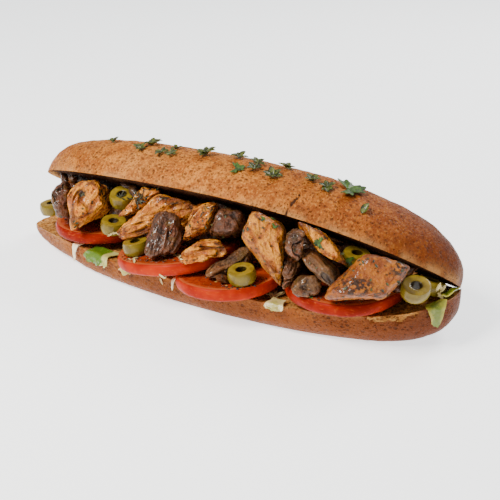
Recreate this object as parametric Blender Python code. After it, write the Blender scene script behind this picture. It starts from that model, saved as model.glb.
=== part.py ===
"""A long wholemeal roll, opened along its front, with meat, olives, tomato and lettuce inside.

The roll lies along X on the floor at z = 0, with its open side towards -Y.
Sizes in this file are millimetres, and add_object turns them into metres.
"""

import math
import random

import bmesh
import bpy
import numpy as np
from mathutils import Matrix, Vector, noise

MM = 0.001
GAP = 0.35  # free space left between touching pieces

# Lower half of the roll, called the heel
HEEL_HALF_LENGTH = 134.8
HEEL_HALF_BREADTH = 41.5
HEEL_FULLNESS = (1.9, 2.2)  # exponents of the plan outline left and right, where 2 is an ellipse
HEEL_RIM_HEIGHT = 15.6
HEEL_RIGHT_RISE = 11.0  # the cut climbs towards the right end
HEEL_LEFT_FALL = 7.5
HEEL_SIDE_ROUND = 3.6  # exponent of the rounded underside
HEEL_FLAT_SHARE = 0.85  # share of the plan that lies flat on the floor
HEEL_HOLLOW = 2.4  # how deep the filling presses into the crumb
HEEL_BACK_ENDS = ((80, 122), (110, 133))  # left and right, the back of the cut meets the crown out to the first, then falls away by the second

# Upper half of the roll, called the crown, tilted back about its rear edge
CROWN_HALF_LENGTH = 128.5
CROWN_HALF_BREADTH = 36.4
CROWN_FULLNESS = (2.45, 2.45)
CROWN_CENTRE = Vector((4.9, 3.2, 41.0))  # middle of the cut face
CROWN_TILT = math.radians(32.9)
CROWN_DOME = 29.0
CROWN_DOME_ROUND = 2.24  # exponent across the loaf
CROWN_DOME_ENDS = 4.6  # exponents along the loaf
CROWN_DOME_FALL = 2.7
CROWN_RIGHT_DROOP = 12.3
CROWN_LEFT_DROOP = 3.8

CRUST_RELIEF = 0.5
ROUND_STEPS = 52

# Filling
FILLING_SLOPE = math.radians(23)  # the heap leans back this far from upright
TOMATO_THICK = 6.2
OLIVE_RADIUS = 7.2
OLIVE_HOLE = 2.7
OLIVE_THICK = 6.4
LEAF_THICK = 0.8

CRUST = (0.50, 0.25, 0.10)
TOMATO_RED = (0.62, 0.06, 0.02)
LETTUCE_GREEN = (0.30, 0.45, 0.10)
OLIVE_GREEN = (0.32, 0.30, 0.06)
PALE_MEAT = (0.68, 0.36, 0.13)
DARK_MEAT = (0.13, 0.06, 0.035)


def clear_scene():
    for obj in list(bpy.data.objects):
        bpy.data.objects.remove(obj, do_unlink=True)


def material(name, colour, roughness):
    made = bpy.data.materials.new(name)
    made.use_nodes = True
    shader = made.node_tree.nodes["Principled BSDF"]
    shader.inputs["Base Color"].default_value = (*colour, 1)
    shader.inputs["Roughness"].default_value = roughness
    shader.inputs["Metallic"].default_value = 0
    return made


def add_object(name, bm, finish, collection=None):
    """Turns a bmesh in millimetres into an object in metres, shaded smooth."""
    bmesh.ops.recalc_face_normals(bm, faces=bm.faces)
    if bm.calc_volume(signed=True) < 0:
        bmesh.ops.reverse_faces(bm, faces=bm.faces)
    bmesh.ops.scale(bm, vec=(MM, MM, MM), verts=bm.verts)
    mesh = bpy.data.meshes.new(name)
    bm.to_mesh(mesh)
    bm.free()
    mesh.materials.append(finish)
    mesh.shade_smooth()
    mesh.set_sharp_from_angle(angle=math.radians(50))
    obj = bpy.data.objects.new(name, mesh)
    (collection or bpy.context.scene.collection).objects.link(obj)
    return obj


def skin_rings(rings):
    """A closed bmesh through rings of points, with a cap on the first and the last."""
    bm = bmesh.new()
    loops = [[bm.verts.new(point) for point in ring] for ring in rings]
    count = len(loops[0])
    for lower, upper in zip(loops, loops[1:]):
        for i in range(count):
            j = (i + 1) % count
            bm.faces.new((lower[i], lower[j], upper[j], upper[i]))
    bm.faces.new(reversed(loops[0]))
    bm.faces.new(loops[-1])
    return bm


def signed_power(value, exponent):
    return math.copysign(abs(value) ** exponent, value)


def plan_point(share, step, half_length, half_breadth, fullness):
    """A point of the plan outline, drawn in towards the middle by a share."""
    angle = 2 * math.pi * (step + 0.5) / ROUND_STEPS
    power = 2 / fullness[math.cos(angle) > 0]
    return (
        share * half_length * signed_power(math.cos(angle), power),
        share * half_breadth * signed_power(math.sin(angle), power),
    )


def breadth_at(x, half_length, half_breadth, fullness):
    power = fullness[x > 0]
    return half_breadth * max(0.0, 1 - (abs(x) / half_length) ** power) ** (1 / power)


def relief(point, size):
    """Soft unevenness of a baked crust, from -1 to 1."""
    return noise.noise(Vector(point) / size)


def heel_rim(x):
    """Height of the heel's cut rim along its length."""
    along = max(-1.0, min(1.0, x / HEEL_HALF_LENGTH))
    if along > 0:
        return HEEL_RIM_HEIGHT + HEEL_RIGHT_RISE * along**6
    return HEEL_RIM_HEIGHT - HEEL_LEFT_FALL * along**8


def smooth_step(value):
    value = max(0.0, min(1.0, value))
    return value * value * (3 - 2 * value)


def crown_level(x, y):
    """Height of the crown's cut face above a place, level beyond its rear edge."""
    along = x - CROWN_CENTRE.x
    back = breadth_at(along, CROWN_HALF_LENGTH, CROWN_HALF_BREADTH, CROWN_FULLNESS)
    inward = min(y - CROWN_CENTRE.y, back * math.cos(CROWN_TILT))
    return CROWN_CENTRE.z - crown_droop(along) - inward * math.tan(CROWN_TILT)


def heel_edge(x, y):
    """Height of the cut at a place on the heel: it climbs at the back to meet the crown."""
    breadth = breadth_at(x, HEEL_HALF_LENGTH, HEEL_HALF_BREADTH, HEEL_FULLNESS)
    seam = crown_level(x, HEEL_HALF_BREADTH) - 2 * GAP
    meets, falls = HEEL_BACK_ENDS[x > 0]
    near = smooth_step((falls - abs(x)) / (falls - meets))
    climb = smooth_step((y / max(breadth, 1) - 0.3) / 0.65)
    level = heel_rim(x) + (seam - heel_rim(x)) * near * climb
    return min(level, crown_level(x, y) - 3 * GAP)


def build_heel(finish):
    """Rings climb the outer crust from the flat base, then run inwards over the cut face."""
    rings = []
    deepest = (1 - HEEL_FLAT_SHARE**HEEL_SIDE_ROUND) ** (1 / HEEL_SIDE_ROUND)
    for share in (HEEL_FLAT_SHARE, 0.91, 0.955, 0.985, 1.0):
        depth = (1 - share**HEEL_SIDE_ROUND) ** (1 / HEEL_SIDE_ROUND) / deepest
        ring = []
        for step in range(ROUND_STEPS):
            x, y = plan_point(share, step, HEEL_HALF_LENGTH, HEEL_HALF_BREADTH, HEEL_FULLNESS)
            z = heel_edge(x, y) * (1 - depth)
            swell = 1 + CRUST_RELIEF * relief((x, y, z), 24) * (1 - depth) / HEEL_HALF_BREADTH
            ring.append((x * swell, y * swell, z))
        rings.append(ring)
    for share in (0.96, 0.86, 0.68, 0.44, 0.20):
        ring = []
        for step in range(ROUND_STEPS):
            x, y = plan_point(share, step, HEEL_HALF_LENGTH, HEEL_HALF_BREADTH, HEEL_FULLNESS)
            z = heel_edge(x, y) - HEEL_HOLLOW * (1 - share**3)
            ring.append((x, y, z + 0.3 * relief((x, y, 0), 9) * (1 - share)))
        rings.append(ring)
    return add_object("roll_heel", skin_rings(rings), finish)


def crown_droop(x):
    """How far the crown's cut face bends down from straight, at a distance along it."""
    along = x / CROWN_HALF_LENGTH
    if along > 0:
        return CROWN_RIGHT_DROOP * along**2.15
    return CROWN_LEFT_DROOP * (-along) ** 1.3


def crown_to_world(x, across, height):
    """From places on the crown, where across is negative at the front, to the roll's frame."""
    cos, sin = math.cos(CROWN_TILT), math.sin(CROWN_TILT)
    return CROWN_CENTRE + Vector(
        (x, across * cos + height * sin, -across * sin + height * cos - crown_droop(x))
    )


def dome_height(x, across):
    """Height of the crust above the crown's cut face."""
    breadth = breadth_at(x, CROWN_HALF_LENGTH, CROWN_HALF_BREADTH, CROWN_FULLNESS)
    if breadth < 1e-6:
        return 0.0
    along = max(0.0, 1 - abs(x / CROWN_HALF_LENGTH) ** CROWN_DOME_ENDS) ** (1 / CROWN_DOME_FALL)
    side = max(0.0, 1 - min(1, abs(across) / breadth) ** CROWN_DOME_ROUND)
    return CROWN_DOME * along * side ** (1 / CROWN_DOME_ROUND)


def crown_surface(x, across):
    """A point on the crown's crust, with its unevenness."""
    height = dome_height(x, across)
    height += CRUST_RELIEF * relief((x, across, 50), 22) * min(1, height / 10)
    return crown_to_world(x, across, height)


def build_crown(finish):
    rings = []
    for share in (0.2, 0.5, 0.8, 0.96):
        rings.append([])
        for step in range(ROUND_STEPS):
            x, across = plan_point(share, step, CROWN_HALF_LENGTH, CROWN_HALF_BREADTH, CROWN_FULLNESS)
            rings[-1].append(crown_to_world(x, across, 0))
    for share in (1.0, 0.99, 0.965, 0.92, 0.85, 0.75, 0.62, 0.46, 0.28, 0.12):
        rings.append([])
        for step in range(ROUND_STEPS):
            x, across = plan_point(share, step, CROWN_HALF_LENGTH, CROWN_HALF_BREADTH, CROWN_FULLNESS)
            rings[-1].append(crown_surface(x, across))
    return add_object("roll_crown", skin_rings(rings), finish)


# Herbs on the crown: place along and across it, leaves, leaf length, and the way it points
SPRIGS = (
    (-76, -22, 3, 4.0, 80),
    (-52, -28, 4, 4.5, 200),
    (-49, -23, 5, 5.0, 40),
    (-52, -16, 4, 4.5, 10),
    (-37, -29, 2, 4.5, 90),
    (-30, -29, 3, 4.0, 130),
    (-32, -24, 2, 4.0, 30),
    (-12, -25, 7, 6.0, 15),
    (6, -21, 4, 5.5, 250),
    (21, -29, 3, 4.5, 300),
    (19, -24, 3, 5.0, 60),
    (33, -30, 4, 5.5, 190),
    (34, -20, 4, 5.0, 330),
    (52, -25, 4, 5.0, 215),
    (61, -26, 5, 5.0, 100),
    (83, -28, 1, 5.5, 70),
)
PARSLEY = (
    (12, -31, 6.5, 20),
    (73, -21, 10.5, 35),
)
LOOSE_LEAVES = 4
LOOSE_SEED = 11


def leaf_solid(root, heading, lift, length, width, thick):
    """A small pointed leaf: two rings of four points between its root and its tip."""
    side = Vector((-heading.y, heading.x, 0)).normalized()
    up = heading.cross(side).normalized()
    if up.z < 0:
        up = -up
    ahead = (heading + up * lift).normalized()
    bm = bmesh.new()
    ends = [bm.verts.new(root), bm.verts.new(root + ahead * length)]
    loops = []
    for along, share in ((0.3, 0.9), (0.68, 1.0)):
        middle = root + ahead * length * along + up * thick * 0.3
        offsets = (side * width / 2, up * thick / 2, side * -width / 2, up * -thick / 2)
        loops.append([bm.verts.new(middle + offset * share) for offset in offsets])
    for i in range(4):
        j = (i + 1) % 4
        bm.faces.new((loops[0][i], loops[0][j], loops[1][j], loops[1][i]))
        bm.faces.new((ends[0], loops[0][j], loops[0][i]))
        bm.faces.new((ends[1], loops[1][i], loops[1][j]))
    return bm


def on_crown(x, across, sink):
    """A point just under the crust, and two directions that run along it."""
    here = crown_surface(x, across)
    along = (crown_surface(x + 1, across) - here).normalized()
    inward = (crown_surface(x, across + 1) - here).normalized()
    normal = along.cross(inward).normalized()
    return here - normal * sink, along, inward, normal


def herb_leaves():
    """Root, heading, lift, length and width of every leaf that lies on the crown."""
    draw = random.Random(LOOSE_SEED)
    for x, across, count, length, turn in SPRIGS:
        root, along, inward, _ = on_crown(x, across, 0.5)
        for i in range(count):
            angle = math.radians(turn + 360 * i / count + draw.uniform(-18, 18))
            heading = along * math.cos(angle) + inward * math.sin(angle)
            yield root, heading, draw.uniform(0.15, 0.5), length * draw.uniform(0.8, 1.1), length * 0.42
    for x, across, length, turn in PARSLEY:
        root, along, inward, _ = on_crown(x, across, 0.5)
        for i, spread in enumerate((-48, 0, 48)):
            angle = math.radians(turn + spread)
            heading = along * math.cos(angle) + inward * math.sin(angle)
            yield root, heading, 0.12 + 0.1 * i, length * (1 - 0.18 * abs(i - 1)), length * 0.5
    for _ in range(LOOSE_LEAVES):
        x, across = draw.uniform(-70, 90), draw.uniform(-30, -8)
        root, along, inward, _ = on_crown(x, across, 0.6)
        angle = draw.uniform(0, 2 * math.pi)
        heading = along * math.cos(angle) + inward * math.sin(angle)
        yield root, heading, 0.1, draw.uniform(3.2, 4.6), 1.8


def scatter_herbs(crown, finish):
    """Fuses every leaf to the crust with one union, then removes the loose leaves."""
    leaves = bpy.data.collections.new("herb leaves")
    for i, (root, heading, lift, length, width) in enumerate(herb_leaves()):
        bm = leaf_solid(root, heading, lift, length, width, thick=1.3)
        add_object(f"leaf_{i}", bm, finish, leaves)
    union = crown.modifiers.new("herbs", "BOOLEAN")
    union.operation = "UNION"
    union.operand_type = "COLLECTION"
    union.collection = leaves
    union.solver = "EXACT"
    graph = bpy.context.evaluated_depsgraph_get()
    fused = bpy.data.meshes.new_from_object(crown.evaluated_get(graph))
    crown.modifiers.clear()
    crown.data = fused
    for obj in list(leaves.objects):
        bpy.data.objects.remove(obj, do_unlink=True)
    bpy.data.collections.remove(leaves)


# Tomato slices: name, centre of the underside, radius, and tilt of the right side up
TOMATOES = (
    ("tomato_1", (-77.0, -9.5, 18.9), 27.2, 0.0),
    ("tomato_2", (-11.0, -25.0, 21.9), 33.0, 9.3),
    ("tomato_3", (23.0, -30.3, 17.6), 27.2, 3.0),
    ("tomato_4", (80.8, -13.2, 20.0), 31.0, 1.0),
)


def build_tomato(name, centre, radius, tilt, finish):
    """A slice with a bulging skin, gently out of round."""
    draw = random.Random(name)
    phase = draw.uniform(0, 2 * math.pi)
    lean = Matrix.Rotation(math.radians(-tilt), 3, "Y")
    profile = ((0.6, 0), (0.95, 0), (0.995, 0.25), (0.995, 0.75), (0.95, 1), (0.6, 0.97))
    rings = []
    steps = 30
    for share, level in profile:
        ring = []
        for step in range(steps):
            angle = 2 * math.pi * step / steps
            reach = radius * share * (1 + 0.018 * math.sin(3 * angle + phase) + 0.008 * math.sin(5 * angle))
            spot = Vector((reach * math.cos(angle), reach * math.sin(angle), TOMATO_THICK * level))
            ring.append(Vector(centre) + lean @ spot)
        rings.append(ring)
    return add_object(name, skin_rings(rings), finish)


# Olive rings: name, centre, and the tilt of the axis about X and about Y in degrees
OLIVES = (
    ("olive_1", (-112.4, -13.5, 25.2), 4, -6),
    ("olive_2", (-52.8, -20.5, 45.0), 20, 8),
    ("olive_3", (-52.6, -29.5, 32.0), 6, 8),
    ("olive_4", (-27.3, -42.5, 29.8), 3, -9),
    ("olive_5", (38.2, -42.2, 29.4), 8, -2),
    ("olive_6", (87.4, -16.0, 40.0), 0, 10),
    ("olive_7", (120.8, -20.0, 33.1), 18, 14),
    ("olive_8", (121.8, -3.4, 28.4), -16, 8),
)


def build_olive(name, centre, tilt_x, tilt_y, finish):
    """A slice through a pitted olive: a short barrel with a round hole."""
    lean = Matrix.Rotation(math.radians(tilt_x), 3, "X") @ Matrix.Rotation(math.radians(tilt_y), 3, "Y")
    half = OLIVE_THICK / 2
    profile = (
        (OLIVE_HOLE, -half),
        (OLIVE_RADIUS * 0.90, -half),
        (OLIVE_RADIUS, 0),
        (OLIVE_RADIUS * 0.90, half),
        (OLIVE_HOLE, half),
    )
    steps = 14
    bm = bmesh.new()
    verts = [bm.verts.new((radius, 0, height)) for radius, height in profile]
    edges = [bm.edges.new((a, b)) for a, b in zip(verts, verts[1:] + verts[:1])]
    bmesh.ops.spin(bm, geom=verts + edges, axis=(0, 0, 1), cent=(0, 0, 0), steps=steps, angle=2 * math.pi)
    bmesh.ops.remove_doubles(bm, verts=bm.verts, dist=0.01)
    bmesh.ops.transform(bm, matrix=Matrix.Translation(centre) @ lean.to_4x4(), verts=bm.verts)
    return add_object(name, bm, finish)


# Lettuce that hangs out over the heel: name, place along the roll, width, how far it runs in
# from the rim, how far it hangs down, and how much it ripples
LETTUCE = (
    ("lettuce_1", -77.0, 4.5, 6.0, 8.5, 0.2),
    ("lettuce_2", -59.0, 23.0, 7.0, 3.6, 1.3),
    ("lettuce_3", -33.5, 12.0, 2.5, 2.4, 0.8),
    ("lettuce_4", 55.5, 12.0, 5.0, 1.2, 0.7),
    ("lettuce_5", 128.9, 7.0, 2.2, 10.5, 0.9),
    ("lettuce_6", -3.5, 1.8, 2.5, 4.5, 0.3),
)
END_LEAF = ("lettuce_7", (131.8, -3.2), (4.8, 10.5), 0.5)  # name, middle, size and ripple


def sheet_solid(grid, thick):
    """A thin solid about a grid of points, with both faces split into the same triangles."""
    rows, columns = len(grid), len(grid[0])
    bm = bmesh.new()
    faces = []
    for side in (1, -1):
        verts = []
        for i in range(rows):
            verts.append([])
            for j in range(columns):
                down = grid[min(i + 1, rows - 1)][j] - grid[max(i - 1, 0)][j]
                along = grid[i][min(j + 1, columns - 1)] - grid[i][max(j - 1, 0)]
                normal = down.cross(along).normalized()
                verts[-1].append(bm.verts.new(grid[i][j] + normal * side * thick / 2))
        faces.append(verts)
    for verts in faces:
        for i in range(rows - 1):
            for j in range(columns - 1):
                a, b, c, d = verts[i][j], verts[i][j + 1], verts[i + 1][j + 1], verts[i + 1][j]
                bm.faces.new((a, b, c))
                bm.faces.new((a, c, d))
    edge = [(0, j) for j in range(columns)] + [(i, columns - 1) for i in range(1, rows)]
    edge += [(rows - 1, j) for j in range(columns - 2, -1, -1)] + [(i, 0) for i in range(rows - 2, 0, -1)]
    for (i, j), (k, m) in zip(edge, edge[1:] + edge[:1]):
        bm.faces.new((faces[0][i][j], faces[0][k][m], faces[1][k][m], faces[1][i][j]))
    return bm


def heel_rim_point(x):
    """A point of the heel's front rim, and the level direction out of the roll there."""
    breadth = breadth_at(x, HEEL_HALF_LENGTH, HEEL_HALF_BREADTH, HEEL_FULLNESS)
    power = HEEL_FULLNESS[x > 0] - 1
    out = Vector((
        math.copysign(abs(x / HEEL_HALF_LENGTH) ** power, x) / HEEL_HALF_LENGTH,
        -((breadth / HEEL_HALF_BREADTH) ** power) / HEEL_HALF_BREADTH,
        0,
    ))
    return Vector((x, -breadth, heel_rim(x))), out.normalized()


def build_lettuce(name, x, width, inside, hang, ripple, finish):
    """A leaf that lies on the heel's cut face, turns over the rim and hangs down its side."""
    draw = random.Random(name)
    phase = draw.uniform(0, 2 * math.pi)
    path = (
        (-inside, 0.85),
        (-inside * 0.45, 0.85),
        (0.5, 1.0),
        (1.8, -0.4),
        (2.2, -0.4 - hang * 0.5),
        (2.4, -0.4 - hang),
    )
    columns = 6 if width > 10 else 4
    grid = []
    for i, (outward, rise) in enumerate(path):
        free = max(0.0, (i - 2) / (len(path) - 3))
        row = []
        for j in range(columns):
            across = j / (columns - 1) - 0.5
            share = 1 - 0.35 * free * abs(across) * 2
            along = x + across * width * (0.8 + 0.2 * math.sin(i + phase))
            rim, out = heel_rim_point(along)
            wave = ripple * math.sin(across * 9 + i * 0.9 + phase)
            up = rise if i < 3 else rise * share + 0.3 * wave
            row.append(rim + out * (outward + free * abs(wave)) + Vector((0, 0, up)))
        grid.append(row)
    return add_object(name, sheet_solid(grid, LEAF_THICK), finish)


# Meat: name, middle of the face that shows, length, width, depth, the way it leans in the
# heap, where along its length it is widest, how many corners it has, and its turn about Z
PALE_PIECES = (
    ("meat_pale_1", (-68.0, -35.7, 45.0), (43.0, 24.4, 26), -21, 0.45, 4, 30),
    ("meat_pale_6", (53.2, -41.5, 46.8), (48.0, 24.0, 26), 19, 0.36, 4, 30),
    ("meat_pale_8", (110.6, -40.3, 45.6), (57.0, 24.5, 19), -66, 0.50, 4, 28),
    ("meat_pale_5", (18.2, -45.4, 35.0), (24.0, 17.0, 16), -64, 0.50, 6, 32),
    ("meat_pale_3", (-11.6, -31.2, 47.8), (88.0, 30.0, 16), -63, 0.42, 4, 30),
    ("meat_pale_4", (7.4, -33.6, 49.8), (38.0, 14.0, 16), -44, 0.55, 4, 30),
    ("meat_pale_7", (74.6, -34.2, 51.6), (50.0, 15.0, 12), 57, 0.45, 4, 30),
    ("meat_pale_2", (-36.5, -29.2, 50.0), (45.0, 17.5, 18), -63, 0.50, 4, 30),
)
DARK_PIECES = (
    ("meat_dark_1", (-81.6, -33.9, 44.2), (26.0, 18.0, 24), -14, 0.5, 6, 28),
    ("meat_dark_2", (-6.2, -47.4, 35.8), (39.0, 18.8, 14), -8, 0.5, 6, 32),
    ("meat_dark_3", (20.8, -33.2, 52.2), (33.5, 23.0, 22), -40, 0.5, 6, 30),
    ("meat_dark_4", (32.4, -44.0, 31.8), (35.5, 18.0, 14), -40, 0.5, 6, 30),
    ("meat_dark_5", (62.4, -40.2, 36.0), (25.0, 17.0, 14), -29, 0.5, 6, 34),
    ("meat_dark_6", (69.6, -40.4, 51.8), (18.0, 13.5, 16), 8, 0.5, 6, 32),
    ("meat_dark_7", (79.8, -40.8, 35.2), (34.0, 21.0, 18), 28, 0.5, 6, 32),
    ("meat_dark_8", (75.0, -42.9, 31.5), (17.0, 11.6, 12), 107, 0.5, 6, 32),
    ("meat_dark_9", (-58.0, -20.0, 38.0), (26.0, 18.0, 20), -50, 0.5, 6, 20),
    ("meat_dark_10", (8.0, -24.0, 36.0), (30.0, 18.0, 20), -70, 0.5, 6, 20),
    ("meat_dark_11", (76.0, -22.0, 38.0), (30.0, 18.0, 20), -70, 0.5, 6, 20),
    ("meat_dark_12", (-88.0, -14.0, 41.6), (34.0, 16.0, 18), -84, 0.5, 6, 20),
    ("meat_dark_13", (76.5, -14.0, 45.0), (24.0, 13.0, 14), 70, 0.5, 6, 20),
)
LEAST_THICKNESS = 7.0  # a piece keeps at least this much when another is pressed into it
LEAST_ROOM = 1.2


def build_end_leaf(name, middle, size, ripple, finish):
    """A leaf that lies over the heel's right end and shows past the crown's tip."""
    rows, columns = 5, 4
    grid = []
    for i in range(rows):
        row = []
        for j in range(columns):
            along, across = i / (rows - 1) - 0.5, j / (columns - 1) - 0.5
            x = middle[0] + size[0] * along
            y = middle[1] + size[1] * across * (1 - 0.5 * abs(along)) + 3 * along
            row.append(Vector((x, y, heel_rim(x) + 2.6 + ripple * math.sin(7 * along + 5 * across))))
        grid.append(row)
    return add_object(name, sheet_solid(grid, LEAF_THICK), finish)


def sphere_directions(segments):
    """A cube's grid blown up to a sphere, with its faces: even points all round."""
    bm = bmesh.new()
    bmesh.ops.create_cube(bm, size=2)
    bmesh.ops.subdivide_edges(bm, edges=bm.edges[:], cuts=segments - 1, use_grid_fill=True)
    for vert in bm.verts:
        vert.co = Vector([math.tan(value * math.pi / 4) for value in vert.co]).normalized()
    return bm


def piece_outline(length, width, shoulder, corners, draw):
    """Corners of the face that shows, going round, as places across and along the piece."""
    if corners == 4:
        widest = length * (0.5 - shoulder)
        flat = ((0, length / 2), (width / 2, widest), (0, -length / 2), (-width / 2, widest))
    else:
        angles = [2 * math.pi * (i + 0.5) / corners for i in range(corners)]
        flat = [(width * 0.54 * math.sin(a), length * 0.54 * math.cos(a)) for a in angles]
    return [(u * draw.uniform(0.94, 1.08), v * draw.uniform(0.94, 1.08)) for u, v in flat]


def shape_cuts(size, shoulder, corners, draw):
    """Outward unit normals, and distances from the middle, of the cuts that bound a piece."""
    length, width, depth = size
    outline = piece_outline(length, width, shoulder, corners, draw)
    cuts = []
    for (u, v), (s, t) in zip(outline, outline[1:] + outline[:1]):
        normal = Vector((-(t - v), 0, s - u)).normalized()
        reach = normal.dot(Vector((u, 0, v)))
        normal, reach = (normal, reach) if reach > 0 else (-normal, -reach)
        cuts.append(((normal + Vector((0, draw.uniform(-0.25, 0.1), 0))).normalized(), reach))
    for side in (-1, 1):
        normal = Vector((draw.uniform(-0.2, 0.2), side, draw.uniform(-0.1, 0.25))).normalized()
        cuts.append((normal, depth / 2))
    return cuts


def rounded_reach(directions, normals, distances, crispness):
    """How far the rounded overlap of half-spaces reaches from its middle, each way."""
    facing = np.maximum(0, directions @ normals.T) / distances
    return (facing**crispness).sum(axis=1) ** (-1 / crispness)


def roomiest_point(start, normals, levels):
    """Walks away from whichever cut is nearest, in steps that shrink."""
    point, best, room = start.copy(), start, -1e9
    for i in range(400):
        slack = levels - normals @ point
        nearest = slack.argmin()
        if slack[nearest] > room:
            best, room = point.copy(), slack[nearest]
        point = point - normals[nearest] * 3.0 / (1 + 0.08 * i)
    return best, room


def parting_cut(points, others, normals):
    """The plane clear of the other piece that takes the least off this one."""
    levels = (others @ normals.T).max(axis=0) + GAP
    across = points @ normals.T
    taken = levels - across.min(axis=0)
    taken[across.max(axis=0) - levels < LEAST_THICKNESS] = 1e9
    best = taken.argmin()
    return -normals[best], -levels[best], taken[best]


def crown_cuts(middle):
    """Tangent planes under the crown's cut face, along a piece."""
    cuts = []
    for x in np.linspace(middle[0] - 32, middle[0] + 32, 13):
        along = x - CROWN_CENTRE.x
        slope = crown_droop(along + 0.5) - crown_droop(along - 0.5)
        normal = Vector((slope, math.tan(CROWN_TILT), 1)).normalized()
        cuts.append((np.array(normal), normal.dot(crown_to_world(along, 0, 0)) - 2 * GAP))
    return cuts


def build_piece(spec, crispness, segments, laid, normals, finish):
    """One piece of meat, squeezed clear of everything laid before it."""
    name, face, size, lean, shoulder, corners, turn = spec
    draw = random.Random(name)
    frame = np.array(
        Matrix.Rotation(math.radians(turn), 3, "Z")
        @ Matrix.Rotation(-FILLING_SLOPE, 3, "X")
        @ Matrix.Rotation(math.radians(-lean), 3, "Y")
    )
    middle = np.array(face) + frame @ np.array((0, size[2] / 2, 0))
    own = shape_cuts(size, shoulder, corners, draw)
    own_normals = np.array([frame @ np.array(normal) for normal, _ in own])
    own_levels = own_normals @ middle + np.array([distance for _, distance in own])
    reach = rounded_reach(normals, own_normals, own_levels - own_normals @ middle, 20)
    points = middle + normals * reach[:, None]
    floor = max(heel_rim(x) for x in (points[:, 0].min(), middle[0], points[:, 0].max())) + GAP
    pressed = [(np.array((0.0, 0.0, -1.0)), -floor)] + crown_cuts(middle)
    for other, others in laid.items():
        normal, level, taken = parting_cut(points, others, normals)
        if taken > 1e8:
            raise ValueError(f"{name} has no room beside {other}")
        if taken > 0:
            pressed.append((normal, level))
    all_normals = np.array(list(own_normals) + [normal for normal, _ in pressed])
    all_levels = np.array(list(own_levels) + [level for _, level in pressed])
    middle, room = roomiest_point(middle, all_normals, all_levels)
    if room < LEAST_ROOM:
        raise ValueError(f"{name} is squeezed to {room:.1f} mm")
    bm = sphere_directions(segments)
    directions = np.array([vert.co for vert in bm.verts])
    distances = all_levels - all_normals @ middle
    reach = rounded_reach(directions, all_normals, distances, crispness)
    shift = Vector((draw.uniform(0, 99), draw.uniform(0, 99), 0))
    for vert, direction, distance in zip(bm.verts, directions, reach):
        spot = Vector(middle + direction * distance)
        dent = 0.09 * (noise.noise(spot / 8 + shift) - 1) + 0.09
        vert.co = middle + direction * distance * (1 + min(0.0, dent))
    return add_object(name, bm, finish)


def corners_of(obj):
    """A finished object's points, in millimetres."""
    return np.array([vert.co / MM for vert in obj.data.vertices])


def build_filling(finishes):
    """Lays the cold pieces first, then the meat from the front of the heap to the back."""
    laid = []
    for name, centre, radius, tilt in TOMATOES:
        laid.append(build_tomato(name, centre, radius, tilt, finishes["tomato"]))
    for name, centre, tilt_x, tilt_y in OLIVES:
        laid.append(build_olive(name, centre, tilt_x, tilt_y, finishes["olive"]))
    for name, x, width, inside, hang, ripple in LETTUCE:
        laid.append(build_lettuce(name, x, width, inside, hang, ripple, finishes["lettuce"]))
    laid.append(build_end_leaf(*END_LEAF, finishes["lettuce"]))
    taken = {obj.name: corners_of(obj) for obj in laid}
    ball = sphere_directions(9)
    normals = np.array([vert.co for vert in ball.verts])
    ball.free()
    pieces = [(spec, 14, 5, "pale meat") for spec in PALE_PIECES]
    pieces += [(spec, 7, 4, "dark meat") for spec in DARK_PIECES]
    pieces.sort(key=lambda piece: piece[0][1][1])
    for spec, crispness, segments, kind in pieces:
        obj = build_piece(spec, crispness, segments, taken, normals, finishes[kind])
        taken[obj.name] = corners_of(obj)


def main():
    clear_scene()
    crust = material("wholemeal crust", CRUST, 0.7)
    finishes = {
        "tomato": material("tomato", TOMATO_RED, 0.3),
        "lettuce": material("lettuce", LETTUCE_GREEN, 0.5),
        "olive": material("olive", OLIVE_GREEN, 0.35),
        "pale meat": material("pale meat", PALE_MEAT, 0.5),
        "dark meat": material("dark meat", DARK_MEAT, 0.4),
    }
    build_heel(crust)
    crown = build_crown(crust)
    scatter_herbs(crown, crust)
    build_filling(finishes)


main()
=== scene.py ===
# %% [markdown]
# # A long filled roll
#
# The object is a wholemeal roll, opened along one side and filled with grilled and braised meat,
# olive rings, tomato slices and lettuce. A plain solid of every piece already exists. This lesson
# gives each piece its fine shape and its finish, and keeps each one where its plain solid lies.

# %% Tools and the plain solids
import itertools
import math
import random

import bmesh
import bpy
import numpy as np
from mathutils import Matrix, Vector
from mathutils.bvhtree import BVHTree


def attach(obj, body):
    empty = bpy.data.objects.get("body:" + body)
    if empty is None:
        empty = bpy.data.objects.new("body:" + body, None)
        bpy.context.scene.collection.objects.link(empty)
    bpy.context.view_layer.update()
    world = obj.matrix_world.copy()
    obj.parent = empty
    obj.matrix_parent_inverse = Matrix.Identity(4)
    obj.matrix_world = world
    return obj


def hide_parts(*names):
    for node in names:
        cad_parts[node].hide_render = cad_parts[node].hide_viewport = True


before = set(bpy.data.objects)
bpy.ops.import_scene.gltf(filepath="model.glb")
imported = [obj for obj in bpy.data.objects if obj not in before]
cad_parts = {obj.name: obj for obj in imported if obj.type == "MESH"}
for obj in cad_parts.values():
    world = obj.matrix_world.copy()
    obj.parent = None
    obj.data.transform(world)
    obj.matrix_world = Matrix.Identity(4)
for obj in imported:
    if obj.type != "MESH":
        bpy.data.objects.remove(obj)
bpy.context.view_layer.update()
MM = 0.001
print("plain solids:", len(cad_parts))

# %% [markdown]
# ## Unevenness
#
# Food is never smooth, so most pieces need unevenness of a known size. Blender's texture nodes
# could move the points, but the same numbers are also wanted as colour masks, so two small NumPy
# functions make them: soft lumps, and the distance to the nearest of many scattered pits. Each
# use passes a seed of its own, so that no two patterns match.


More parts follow.
